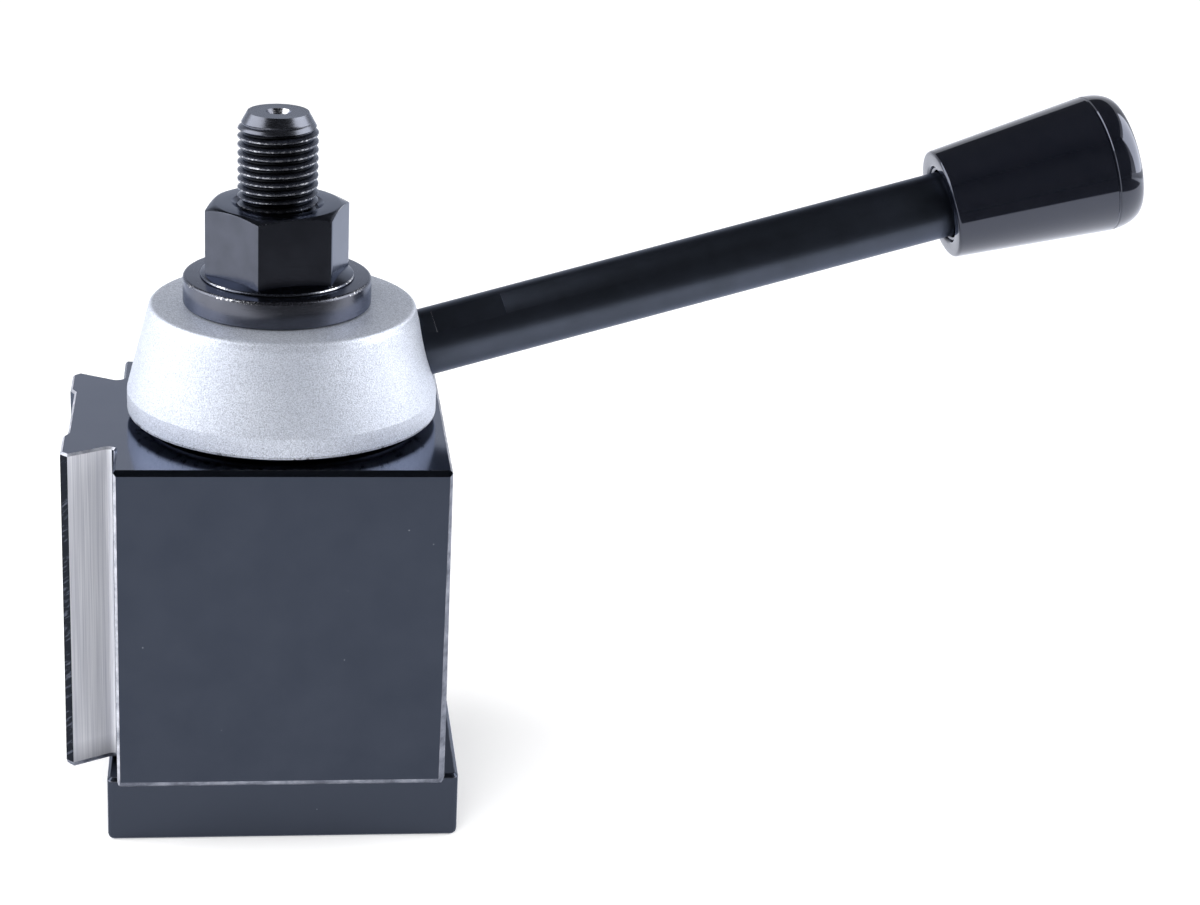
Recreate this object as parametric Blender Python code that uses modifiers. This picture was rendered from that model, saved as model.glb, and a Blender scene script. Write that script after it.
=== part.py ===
# Quick-change tool post for a small lathe, with a rotary cam that drives one piston in each dovetail.
# Metres, +Z up. The origin is on the block's upright centre line, on the underside of the mounting plate.
# The engraved front face looks along -Y, the two dovetails stand on the -X and +Y sides,
# and the clamping handle rises towards +X.

import math

import bmesh
import bpy
from mathutils import Euler, Matrix, Vector

MM = 0.001

# Gaps between the pieces
SEAT_GAP = 0.3 * MM             # between two faces that rest on each other
RUN_GAP = 0.25 * MM             # round a shaft that turns or slides in its bore

# Mounting plate, cut to fit the slot of the cross slide
PLATE_WIDTH = 61.8 * MM
PLATE_DEPTH = 48.2 * MM
PLATE_THICKNESS = 12.15 * MM
PLATE_SHIFT = 0.4 * MM          # the plate stands a little to the right of the block
PLATE_ROUNDING = 1.1 * MM
PLATE_FOOT_ROUNDING = 1.0 * MM
PLATE_TOP_CHAMFER = 0.6 * MM
STUD_HOLE_FLOOR = 1.6 * MM

# Clamp stud, M14
STUD_RADIUS = 6.93 * MM
STUD_SHIFT = -1.0 * MM          # the stud stands left in the play that the sleeve gives it
STUD_TOP_Z = 126.6 * MM
STUD_TIP_RADIUS = 5.27 * MM
STUD_TIP_SHOULDER = 6.65 * MM
STUD_TIP_LENGTH = 2.5 * MM
STUD_END_CHAMFER = 1.0 * MM
CENTRE_HOLE_RADIUS = 2.15 * MM
CENTRE_DRILL_RADIUS = 1.0 * MM
CENTRE_DRILL_DEPTH = 3.5 * MM

# Block with its two male dovetails
BLOCK_WIDTH = 57.0 * MM
BLOCK_HEIGHT = 59.2 * MM
TOP_EDGE = 0.4 * MM
FRONT_TOP_CHAMFER = 0.9 * MM
BOTTOM_ROUNDING = 1.2 * MM
UPRIGHT_CHAMFER = 0.5 * MM
WORN_CHAMFER = 1.1 * MM         # front right edge at its foot; it narrows upwards
DOVETAIL_ANGLE = math.radians(60.0)
DOVETAIL_ROOT_HALF = 16.6 * MM
DOVETAIL_HEIGHT = 9.2 * MM
DOVETAIL_TIP_FACET = 1.3 * MM
LEFT_DOVETAIL_SHIFT = 0.7 * MM  # towards the back
ROOT_FILLET = 1.2 * MM
RELIEF_HALF_WIDTH = 10.4 * MM
RELIEF_DEPTH = 0.8 * MM
RELIEF_RAMP = 1.5 * MM
BORE_RADIUS = 19.5 * MM
FLOOR_THICKNESS = 9.0 * MM

# Centre sleeve that carries the clamping load past the cam to the floor of the block
SLEEVE_RADIUS = 10.0 * MM
SLEEVE_BORE_RADIUS = 8.3 * MM
SLEEVE_FLANGE_RADIUS = 15.0 * MM
SLEEVE_FLANGE_THICKNESS = 3.5 * MM
SLEEVE_PROUD = 0.1 * MM         # above the collar's top face
SLEEVE_PIN_RADIUS = 1.5 * MM
SLEEVE_PIN_LENGTH = 8.0 * MM
SLEEVE_PIN_OFFSET = 12.4 * MM

# Thrust washers under the cam and under the collar
LOWER_THRUST_THICKNESS = 1.5 * MM
UPPER_THRUST_THICKNESS = 0.9 * MM
UPPER_THRUST_INNER = 20.3 * MM
UPPER_THRUST_OUTER = 24.5 * MM

# Cam sleeve
LOCK_TURN = math.radians(65.0)
PISTON_TRAVEL = 1.5 * MM
CAM_LOW_RADIUS = 13.0 * MM
CAM_LEAD_IN = math.radians(7.0)
CAM_LEAD_OUT = math.radians(10.0)
CAM_DROP = math.radians(8.0)
CAM_LOBE_HALF_HEIGHT = 5.5 * MM
CAM_CORE_RADIUS = 12.2 * MM
CAM_JOURNAL_RADIUS = 15.2 * MM
CAM_LOWER_JOURNAL_HEIGHT = 6.0 * MM
CAM_UPPER_JOURNAL_CLEARANCE = 2.4 * MM
CAM_FLANGE_HEIGHT = 8.0 * MM
CAM_NECK_RADIUS = 15.6 * MM
CAM_NECK_IN_COLLAR = 12.0 * MM
LEFT_STATION_ANGLE = math.pi
BACK_STATION_ANGLE = math.pi / 2

# Snap ring that keeps the cam in the block
SNAP_RING_THICKNESS = 1.2 * MM
SNAP_RING_BITE = 1.1 * MM
SNAP_RING_BAND = 2.0 * MM
SNAP_RING_LUG = 1.5 * MM
SNAP_RING_MOUTH = math.radians(32.0)
SNAP_RING_LUG_SPAN = math.radians(13.0)
SNAP_RING_EYE_RADIUS = 0.8 * MM
SNAP_RING_COVER = 2.5 * MM      # block left above the groove

# Collar that turns the cam
COLLAR_HEIGHT = 19.35 * MM
COLLAR_BASE_RADIUS = 27.1 * MM
COLLAR_BAND_HEIGHT = 3.7 * MM
COLLAR_CONE_ANGLE = math.radians(14.3)
COLLAR_RIM_RADIUS = 0.9 * MM
COLLAR_BASE_CHAMFER = 0.4 * MM
DRIVE_PIN_RADIUS = 1.8 * MM
DRIVE_PIN_LENGTH = 12.0 * MM
DRIVE_PIN_HEADROOM = 4.5 * MM   # pin length inside the collar

# Washer and nut on top
WASHER_RADIUS = 16.35 * MM
WASHER_BORE_RADIUS = 7.5 * MM
WASHER_THICKNESS = 4.65 * MM
WASHER_EDGE = 0.6 * MM
NUT_ACROSS_FLATS = 22.4 * MM
NUT_HEX_HEIGHT = 11.9 * MM
NUT_FLANGE_RADIUS = 13.4 * MM
NUT_FLANGE_HEIGHT = 0.85 * MM
NUT_TURN = math.radians(-15.3)
NUT_CHAMFER_ANGLE = math.radians(23.0)
NUT_TOP_FLAT = 10.85 * MM       # radius at which the corners' chamfer starts
NUT_COUNTERSINK = 0.9 * MM

# Handle: a rod square to the collar's cone, and a tapered knob on its end
HANDLE_AZIMUTH = math.radians(5.3)
HANDLE_Z = 78.1 * MM            # height at which the rod's axis meets the stud's axis
ROD_RADIUS = 5.95 * MM
ROD_TAIL_RADIUS = 5.0 * MM
ROD_TAIL_LENGTH = 6.6 * MM
ROD_SEAT_DEPTH = 1.2 * MM
ROD_END_RADIUS = 4.0 * MM
ROD_END_LENGTH = 18.0 * MM
ROD_CHAMFER = 0.7 * MM
FLATS_ACROSS = 11.0 * MM
FLATS_LENGTH = 12.7 * MM
FLATS_OFFSET = 2.5 * MM
FLATS_ROLL = math.radians(-53.0)
KNOB_START = 123.0 * MM         # along the rod, from the stud's axis
KNOB_LENGTH = 35.0 * MM
KNOB_SMALL_RADIUS = 9.9 * MM
KNOB_LARGE_RADIUS = 12.5 * MM
KNOB_SMALL_EDGE = 0.6 * MM
KNOB_LARGE_EDGE = 5.0 * MM      # rounding along the handle
KNOB_END_DROP = 2.3 * MM        # rounding across the handle
KNOB_MOUTH_RADIUS = 7.0 * MM
KNOB_MOUTH_DEPTH = 2.4 * MM
INSERT_RADIUS = 6.2 * MM
INSERT_LENGTH = 20.0 * MM

# Pistons, one in each dovetail
NOSE_RADIUS = 4.0 * MM
NOSE_LENGTH = 7.0 * MM
HEAD_RADIUS = 8.0 * MM
HEAD_LENGTH = 4.0 * MM
STEM_RADIUS = 6.0 * MM
PISTON_SUNK = 0.3 * MM          # at rest, below the floor of the relief
PISTON_EDGE = 0.4 * MM
BUSH_RADIUS = 9.0 * MM
BUSH_LENGTH = 6.3 * MM
BUSH_SLOT_WIDTH = 2.0 * MM
BUSH_SLOT_DEPTH = 1.5 * MM
SPRING_WIRE_RADIUS = 0.6 * MM
SPRING_TURNS = 3

# Facets round a full turn
COARSE = 32
MEDIUM = 40
FINE = 64
CUT_MARGIN = 2.0 * MM           # how far a cutter runs past the face that it opens

# Heights worked out from the sizes above
block_bottom = PLATE_THICKNESS + SEAT_GAP
block_top = block_bottom + BLOCK_HEIGHT
bore_floor = block_bottom + FLOOR_THICKNESS
station_z = block_bottom + BLOCK_HEIGHT / 2
flange_bottom = bore_floor + SEAT_GAP
flange_top = flange_bottom + SLEEVE_FLANGE_THICKNESS
lower_thrust_bottom = flange_top + SEAT_GAP
cam_bottom = lower_thrust_bottom + LOWER_THRUST_THICKNESS + SEAT_GAP
snap_ring_top = block_top - SNAP_RING_COVER
snap_ring_bottom = snap_ring_top - SNAP_RING_THICKNESS
cam_flange_top = snap_ring_bottom - SEAT_GAP
upper_thrust_bottom = block_top + SEAT_GAP
collar_bottom = upper_thrust_bottom + UPPER_THRUST_THICKNESS + SEAT_GAP
collar_top = collar_bottom + COLLAR_HEIGHT
cam_top = collar_bottom + CAM_NECK_IN_COLLAR
sleeve_top = collar_top + SLEEVE_PROUD
washer_bottom = sleeve_top + SEAT_GAP
washer_top = washer_bottom + WASHER_THICKNESS
nut_bottom = washer_top + SEAT_GAP
nut_hex_bottom = nut_bottom + NUT_FLANGE_HEIGHT
nut_top = nut_hex_bottom + NUT_HEX_HEIGHT

# Radii worked out from the fits
stud_hole_radius = STUD_RADIUS + SEAT_GAP
flank_height = DOVETAIL_HEIGHT - DOVETAIL_TIP_FACET
sleeve_hole_radius = SLEEVE_RADIUS + SEAT_GAP
cam_bore_radius = SLEEVE_RADIUS + RUN_GAP
cam_flange_radius = BORE_RADIUS - RUN_GAP
drive_pin_offset = (cam_bore_radius + CAM_NECK_RADIUS) / 2
cam_rise = PISTON_TRAVEL / LOCK_TURN

# Distances outwards from the stud's axis at each piston
half_block = BLOCK_WIDTH / 2
land_out = half_block + DOVETAIL_HEIGHT
relief_out = land_out - RELIEF_DEPTH
piston_out = relief_out - PISTON_SUNK
nose_in = CAM_LOW_RADIUS + SEAT_GAP
head_in = nose_in + NOSE_LENGTH
head_out = head_in + HEAD_LENGTH
bush_out = relief_out - SEAT_GAP
bush_in = bush_out - BUSH_LENGTH
piston_bore_radius = HEAD_RADIUS + RUN_GAP
bush_bore_radius = BUSH_RADIUS + SEAT_GAP

# Distances along the handle from the stud's axis
cone_foot = collar_bottom + COLLAR_BAND_HEIGHT
handle_climb = math.tan(COLLAR_CONE_ANGLE)
cone_foot_above_handle = cone_foot - HANDLE_Z
rod_exit = (COLLAR_BASE_RADIUS + cone_foot_above_handle * handle_climb) * math.cos(COLLAR_CONE_ANGLE)
rod_shoulder = rod_exit - ROD_SEAT_DEPTH + SEAT_GAP
knob_mouth_floor = KNOB_START + KNOB_MOUTH_DEPTH
insert_start = knob_mouth_floor + SEAT_GAP
rod_end_shoulder = insert_start - SEAT_GAP


def clear_scene():
    for item in list(bpy.data.objects):
        bpy.data.objects.remove(item, do_unlink=True)


clear_scene()
part_collection = bpy.data.collections.new("lathe_tool_post")
cutter_collection = bpy.data.collections.new("cutters")
cutter_collection.hide_render = True
bpy.context.scene.collection.children.link(part_collection)
bpy.context.scene.collection.children.link(cutter_collection)


def new_material(name, colour, roughness, metallic):
    material = bpy.data.materials.new(name)
    material.use_nodes = True
    shader = material.node_tree.nodes["Principled BSDF"]
    shader.inputs["Base Color"].default_value = (*colour, 1.0)
    shader.inputs["Roughness"].default_value = roughness
    shader.inputs["Metallic"].default_value = metallic
    return material


def blackened(name, roughness=0.35):
    return new_material(name, (0.03, 0.033, 0.04), roughness, 0.9)


def bright(name, roughness=0.3):
    return new_material(name, (0.62, 0.62, 0.63), roughness, 1.0)


def bronze(name):
    return new_material(name, (0.45, 0.28, 0.12), 0.4, 1.0)


def add_part(name, mesh, material):
    part = bpy.data.objects.new(name, mesh)
    part_collection.objects.link(part)
    mesh.materials.clear()
    mesh.materials.append(material)
    return part


def add_cutter(name, mesh):
    cutter = bpy.data.objects.new(name, mesh)
    cutter_collection.objects.link(cutter)
    cutter.hide_render = True
    cutter.display_type = "WIRE"
    return cutter


def boolean(part, cutter, operation="DIFFERENCE"):
    modifier = part.modifiers.new(cutter.name, "BOOLEAN")
    modifier.object = cutter
    modifier.operation = operation
    modifier.solver = "EXACT"
    return modifier


def smooth(mesh):
    mesh.shade_smooth()
    mesh.set_sharp_from_angle(angle=math.radians(35.0))


def arc(centre_r, centre_z, radius, start, end, count=4):
    """Points of an arc in a profile, angles in degrees from the outward radius."""
    points = []
    for step in range(count + 1):
        angle = math.radians(start + (end - start) * step / count)
        points.append((centre_r + radius * math.cos(angle), centre_z + radius * math.sin(angle)))
    return points


def profile_mesh(name, points, closed):
    """An edge loop or an open chain of (radius, height) points in the XZ plane."""
    mesh = bpy.data.meshes.new(name)
    vertices = [(radius, 0.0, height) for radius, height in points]
    edges = [(index, index + 1) for index in range(len(points) - 1)]
    if closed:
        edges.append((len(points) - 1, 0))
    mesh.from_pydata(vertices, edges, [])
    return mesh


def spin(part, steps):
    """Turn a part's profile round its own Z axis."""
    screw = part.modifiers.new("turned", "SCREW")
    screw.axis = "Z"
    screw.angle = 2 * math.pi
    screw.steps = steps
    screw.render_steps = steps
    screw.use_merge_vertices = True
    screw.merge_threshold = 0.00001
    screw.use_smooth_shade = True
    return screw


def turned_part(name, points, material, steps=MEDIUM, ring=False):
    """Profile points run down the outer side; a ring's profile closes on itself."""
    part = add_part(name, profile_mesh(name, points, ring), material)
    spin(part, steps)
    return part


def turned_cutter(name, points, steps=MEDIUM):
    cutter = add_cutter(name, profile_mesh(name, points, False))
    spin(cutter, steps)
    return cutter


def cylinder_points(radius, top, bottom):
    return [(0.0, top), (radius, top), (radius, bottom), (0.0, bottom)]


def ring_points(inner, outer, top, bottom, edge=0.0):
    """Rectangular ring section with its outer corners and inner corners chamfered by edge."""
    if edge == 0.0:
        return [(inner, top), (outer, top), (outer, bottom), (inner, bottom)]
    return [
        (inner + edge, top),
        (outer - edge, top),
        (outer, top - edge),
        (outer, bottom + edge),
        (outer - edge, bottom),
        (inner + edge, bottom),
        (inner, bottom + edge),
        (inner, top - edge),
    ]


def rounded_ring_points(inner, outer, top, bottom, edge):
    """Ring section with rounded outer corners."""
    points = [(inner, top)]
    points += arc(outer - edge, top - edge, edge, 90, 0, 2)
    points += arc(outer - edge, bottom + edge, edge, 0, -90, 2)
    points.append((inner, bottom))
    return points


def flat_mesh(name, outlines, thickness):
    """A flat outline, with holes where further outlines are given, thickened about z = 0."""
    curve = bpy.data.curves.new(name, "CURVE")
    curve.dimensions = "2D"
    curve.fill_mode = "BOTH"
    curve.extrude = thickness / 2
    for outline in outlines:
        spline = curve.splines.new("POLY")
        spline.points.add(len(outline) - 1)
        for point, (x, y) in zip(spline.points, outline):
            point.co = (x, y, 0.0, 1.0)
        spline.use_cyclic_u = True
    return mesh_from_curve(name, curve)


def mesh_from_curve(name, curve):
    holder = bpy.data.objects.new(name + "_outline", curve)
    cutter_collection.objects.link(holder)
    bpy.context.view_layer.update()
    evaluated = holder.evaluated_get(bpy.context.evaluated_depsgraph_get())
    mesh = bpy.data.meshes.new_from_object(evaluated)
    mesh.name = name
    bpy.data.objects.remove(holder, do_unlink=True)
    weld = bmesh.new()
    weld.from_mesh(mesh)
    bmesh.ops.remove_doubles(weld, verts=weld.verts, dist=0.000002)
    bmesh.ops.dissolve_limit(weld, angle_limit=math.radians(1.0), verts=weld.verts, edges=weld.edges)
    bmesh.ops.recalc_face_normals(weld, faces=weld.faces)
    weld.to_mesh(mesh)
    weld.free()
    return mesh


def break_rim(mesh, upward, width, segments=1):
    """Bevel the rim of an upright solid's top face, or of its bottom face."""
    shape = bmesh.new()
    shape.from_mesh(mesh)
    rims = set()
    for face in shape.faces:
        if face.normal.z * upward > 0.99:
            rims.update(edge for edge in face.edges if not edge.is_boundary)
    rims = [edge for edge in rims if any(abs(face.normal.z) < 0.5 for face in edge.link_faces)]
    bmesh.ops.bevel(shape, geom=rims, offset=width, segments=segments, affect="EDGES", profile=0.5)
    shape.to_mesh(mesh)
    shape.free()


def circle_outline(radius, centre=(0.0, 0.0), count=COARSE):
    points = []
    for step in range(count):
        angle = 2 * math.pi * step / count
        points.append((centre[0] + radius * math.cos(angle), centre[1] + radius * math.sin(angle)))
    return points


def box_cutter(name, size, centre):
    mesh = bpy.data.meshes.new(name)
    shape = bmesh.new()
    bmesh.ops.create_cube(shape, size=1.0)
    bmesh.ops.scale(shape, vec=Vector(size), verts=shape.verts)
    bmesh.ops.translate(shape, vec=Vector(centre), verts=shape.verts)
    shape.to_mesh(mesh)
    shape.free()
    return add_cutter(name, mesh)


# Places of the handle and of the two stations: each maps local +Z to its own outward axis
handle_direction = Vector((
    math.cos(COLLAR_CONE_ANGLE) * math.cos(HANDLE_AZIMUTH),
    math.cos(COLLAR_CONE_ANGLE) * math.sin(HANDLE_AZIMUTH),
    math.sin(COLLAR_CONE_ANGLE),
))
handle_turn = Euler((0.0, math.pi / 2 - COLLAR_CONE_ANGLE, HANDLE_AZIMUTH), "XYZ")


def on_handle(item):
    item.location = (0.0, 0.0, HANDLE_Z)
    item.rotation_euler = handle_turn


def on_station(item, angle):
    item.location = (0.0, 0.0, station_z)
    item.rotation_euler = Euler((0.0, math.pi / 2, angle), "XYZ")


def make_pivot(name, place):
    pivot = bpy.data.objects.new(name, None)
    pivot.location = place
    part_collection.objects.link(pivot)
    return pivot


def parent_keep_place(item, pivot):
    item.parent = pivot
    item.matrix_parent_inverse = Matrix.Translation(-pivot.location)


# Mounting plate and stud
def make_plate():
    corners = []
    for side_x, side_y in ((-1, -1), (1, -1), (1, 1), (-1, 1)):
        centre_x = PLATE_SHIFT + side_x * (PLATE_WIDTH / 2 - PLATE_ROUNDING)
        centre_y = side_y * (PLATE_DEPTH / 2 - PLATE_ROUNDING)
        first = {(-1, -1): 180, (1, -1): 270, (1, 1): 0, (-1, 1): 90}[(side_x, side_y)]
        corners += arc(centre_x, centre_y, PLATE_ROUNDING, first, first + 90, 3)
    mesh = flat_mesh("mounting_plate", [corners], PLATE_THICKNESS)
    mesh.transform(Matrix.Translation((0.0, 0.0, PLATE_THICKNESS / 2)))
    break_rim(mesh, 1, PLATE_TOP_CHAMFER)
    break_rim(mesh, -1, PLATE_FOOT_ROUNDING, 3)
    plate = add_part("mounting_plate", mesh, blackened("plate_black_oxide"))
    hole = turned_cutter(
        "plate_stud_hole",
        cylinder_points(stud_hole_radius, PLATE_THICKNESS + CUT_MARGIN, STUD_HOLE_FLOOR),
    )
    hole.location.x = STUD_SHIFT
    boolean(plate, hole)


def make_stud():
    bottom = STUD_HOLE_FLOOR + SEAT_GAP
    points = [
        (0.0, STUD_TOP_Z - CENTRE_DRILL_DEPTH),
        (CENTRE_DRILL_RADIUS, STUD_TOP_Z - CENTRE_DRILL_DEPTH),
        (CENTRE_DRILL_RADIUS, STUD_TOP_Z - (CENTRE_HOLE_RADIUS - CENTRE_DRILL_RADIUS) * math.sqrt(3)),
        (CENTRE_HOLE_RADIUS, STUD_TOP_Z),
        (STUD_TIP_RADIUS, STUD_TOP_Z),
        (STUD_TIP_SHOULDER, STUD_TOP_Z - STUD_TIP_LENGTH),
        (STUD_RADIUS, STUD_TOP_Z - STUD_TIP_LENGTH - (STUD_RADIUS - STUD_TIP_SHOULDER)),
        (STUD_RADIUS, bottom + STUD_END_CHAMFER),
        (STUD_RADIUS - STUD_END_CHAMFER, bottom),
        (0.0, bottom),
    ]
    stud = turned_part("clamp_stud", points, blackened("stud_black_oxide"))
    stud.location.x = STUD_SHIFT


# Block
def dovetail_outline():
    """Half of one dovetail, from its root to its middle: (along the side, outwards) points."""
    tip_half = DOVETAIL_ROOT_HALF + flank_height / math.tan(DOVETAIL_ANGLE)
    # The root's fillet touches the side of the block and the flank
    centre_along = DOVETAIL_ROOT_HALF + ROOT_FILLET / math.tan(DOVETAIL_ANGLE / 2)
    flank_touch = math.degrees(math.pi / 2 + DOVETAIL_ANGLE)
    points = arc(centre_along, ROOT_FILLET, ROOT_FILLET, 270, flank_touch, 6)
    points.append((tip_half, flank_height))
    points.append((tip_half - DOVETAIL_TIP_FACET, DOVETAIL_HEIGHT))
    points.append((RELIEF_HALF_WIDTH + RELIEF_RAMP, DOVETAIL_HEIGHT))
    points.append((RELIEF_HALF_WIDTH, DOVETAIL_HEIGHT - RELIEF_DEPTH))
    return points


def block_outline():
    """The block's section, counter-clockwise from its front left corner."""
    profile = dovetail_outline()
    left = [(-half_block - out, LEFT_DOVETAIL_SHIFT + along) for along, out in profile]
    left += [(-half_block - out, LEFT_DOVETAIL_SHIFT - along) for along, out in reversed(profile)]
    back = [(along, half_block + out) for along, out in profile]
    back += [(-along, half_block + out) for along, out in reversed(profile)]
    points = [(-half_block, -half_block), (half_block, -half_block), (half_block, half_block)]
    points += back
    points.append((-half_block, half_block))
    points += left
    return points


def cut_edge(block, name, foot, head, outwards, along):
    """Cut an edge away down to the plane through foot and head, square to outwards."""
    size = 4 * WORN_CHAMFER
    middle = (foot + head) / 2
    normal = outwards.normalized()
    tangent = along.normalized()
    third = tangent.cross(normal)
    length = along.length + 2 * CUT_MARGIN
    turn = Matrix((third, tangent, normal)).transposed()
    cutter = box_cutter(name, (size, length, size), (0.0, 0.0, size / 2))
    cutter.matrix_world = Matrix.Translation(middle) @ turn.to_4x4()
    boolean(block, cutter)


def cut_block_edges(block):
    inner = half_block - UPRIGHT_CHAMFER / 2
    upright = Vector((0.0, 0.0, BLOCK_HEIGHT))
    for name, side_x, side_y in (("front_left", -1, -1), ("back_left", -1, 1), ("back_right", 1, 1)):
        foot = Vector((side_x * inner, side_y * inner, block_bottom))
        cut_edge(block, "edge_" + name, foot, foot + upright, Vector((side_x, side_y, 0.0)), upright)
    worn = half_block - WORN_CHAMFER / 2
    foot = Vector((worn, -worn, block_bottom))
    head = Vector((inner, -inner, block_top))
    slope = head - foot
    cut_edge(block, "edge_front_right", foot, head, Vector((1.0, 1.0, 0.0)).cross(slope), slope)
    lowered = FRONT_TOP_CHAMFER / 2
    left = Vector((-half_block, -half_block + lowered, block_top - lowered))
    right = Vector((half_block, -half_block + lowered, block_top - lowered))
    cut_edge(block, "edge_front_top", left, right, Vector((0.0, -1.0, 1.0)), right - left)


def make_block():
    mesh = flat_mesh("post_block", [block_outline()], BLOCK_HEIGHT)
    break_rim(mesh, 1, TOP_EDGE)
    break_rim(mesh, -1, BOTTOM_ROUNDING, 3)
    mesh.transform(Matrix.Translation((0.0, 0.0, block_bottom + BLOCK_HEIGHT / 2)))
    block = add_part("post_block", mesh, blackened("block_black_oxide"))
    cut_block_edges(block)
    groove_radius = BORE_RADIUS + SNAP_RING_BITE + SEAT_GAP
    bore = turned_cutter(
        "block_bore",
        [
            (0.0, block_top + CUT_MARGIN),
            (BORE_RADIUS, block_top + CUT_MARGIN),
            (BORE_RADIUS, snap_ring_top + SEAT_GAP),
            (groove_radius, snap_ring_top + SEAT_GAP),
            (groove_radius, snap_ring_bottom - SEAT_GAP),
            (BORE_RADIUS, snap_ring_bottom - SEAT_GAP),
            (BORE_RADIUS, bore_floor),
            (sleeve_hole_radius, bore_floor),
            (sleeve_hole_radius, block_bottom - CUT_MARGIN),
            (0.0, block_bottom - CUT_MARGIN),
        ],
        FINE,
    )
    boolean(block, bore)
    for name, angle in (("left", LEFT_STATION_ANGLE), ("back", BACK_STATION_ANGLE)):
        cutter = turned_cutter(
            name + "_piston_bore",
            [
                (0.0, land_out + CUT_MARGIN),
                (bush_bore_radius, land_out + CUT_MARGIN),
                (bush_bore_radius, bush_in - SEAT_GAP),
                (piston_bore_radius, bush_in - SEAT_GAP),
                (piston_bore_radius, BORE_RADIUS / 2),
                (0.0, BORE_RADIUS / 2),
            ],
        )
        on_station(cutter, angle)
        boolean(block, cutter)
    hole_top = bore_floor + CUT_MARGIN
    hole = turned_cutter(
        "block_pin_hole",
        cylinder_points(SLEEVE_PIN_RADIUS + SEAT_GAP, hole_top, sleeve_pin_bottom - SEAT_GAP),
        COARSE // 2,
    )
    hole.location = (0.0, -SLEEVE_PIN_OFFSET, 0.0)
    boolean(block, hole)


# Centre sleeve, its pin and the thrust washers
sleeve_pin_top = flange_top - SEAT_GAP
sleeve_pin_bottom = sleeve_pin_top - SLEEVE_PIN_LENGTH


def make_sleeve():
    spigot_bottom = block_bottom + SEAT_GAP
    points = [
        (SLEEVE_BORE_RADIUS, sleeve_top),
        (SLEEVE_RADIUS, sleeve_top),
        (SLEEVE_RADIUS, flange_top),
        (SLEEVE_FLANGE_RADIUS, flange_top),
        (SLEEVE_FLANGE_RADIUS, flange_bottom),
        (SLEEVE_RADIUS, flange_bottom),
        (SLEEVE_RADIUS, spigot_bottom),
        (SLEEVE_BORE_RADIUS, spigot_bottom),
    ]
    sleeve = turned_part("centre_sleeve", points, bright("sleeve_ground_steel"), MEDIUM, ring=True)
    hole = turned_cutter(
        "sleeve_pin_hole",
        cylinder_points(SLEEVE_PIN_RADIUS + SEAT_GAP, flange_top + CUT_MARGIN, flange_bottom - CUT_MARGIN),
        COARSE // 2,
    )
    hole.location = (0.0, -SLEEVE_PIN_OFFSET, 0.0)
    boolean(sleeve, hole)
    edge = SEAT_GAP
    pin = turned_part(
        "sleeve_pin",
        [
            (0.0, sleeve_pin_top),
            (SLEEVE_PIN_RADIUS - edge, sleeve_pin_top),
            (SLEEVE_PIN_RADIUS, sleeve_pin_top - edge),
            (SLEEVE_PIN_RADIUS, sleeve_pin_bottom + edge),
            (SLEEVE_PIN_RADIUS - edge, sleeve_pin_bottom),
            (0.0, sleeve_pin_bottom),
        ],
        bright("pin_steel"),
        COARSE // 2,
    )
    pin.location = (0.0, -SLEEVE_PIN_OFFSET, 0.0)


def make_thrust_washers():
    lower_top = lower_thrust_bottom + LOWER_THRUST_THICKNESS
    turned_part(
        "lower_thrust_washer",
        ring_points(sleeve_hole_radius, SLEEVE_FLANGE_RADIUS, lower_top, lower_thrust_bottom),
        bronze("thrust_bronze"),
        MEDIUM,
        ring=True,
    )
    upper_top = upper_thrust_bottom + UPPER_THRUST_THICKNESS
    turned_part(
        "upper_thrust_ring",
        ring_points(UPPER_THRUST_INNER, UPPER_THRUST_OUTER, upper_top, upper_thrust_bottom),
        blackened("thrust_ring_black_oxide"),
        MEDIUM,
        ring=True,
    )


# Cam sleeve: two lobes that rise evenly, one for each station
def cam_radius(angle):
    """Lobe radius at an angle in the block's plane, with the cam at rest."""
    for station in (BACK_STATION_ANGLE, LEFT_STATION_ANGLE):
        turn = angle - station
        top_turn = LOCK_TURN + CAM_LEAD_OUT
        if -CAM_LEAD_IN <= turn <= top_turn:
            return CAM_LOW_RADIUS + cam_rise * turn
        if top_turn < turn < top_turn + CAM_DROP:
            share = (turn - top_turn) / CAM_DROP
            high = CAM_LOW_RADIUS + cam_rise * top_turn
            low = CAM_LOW_RADIUS - cam_rise * CAM_LEAD_IN
            return high + (low - high) * share
    return CAM_LOW_RADIUS - cam_rise * CAM_LEAD_IN


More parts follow.
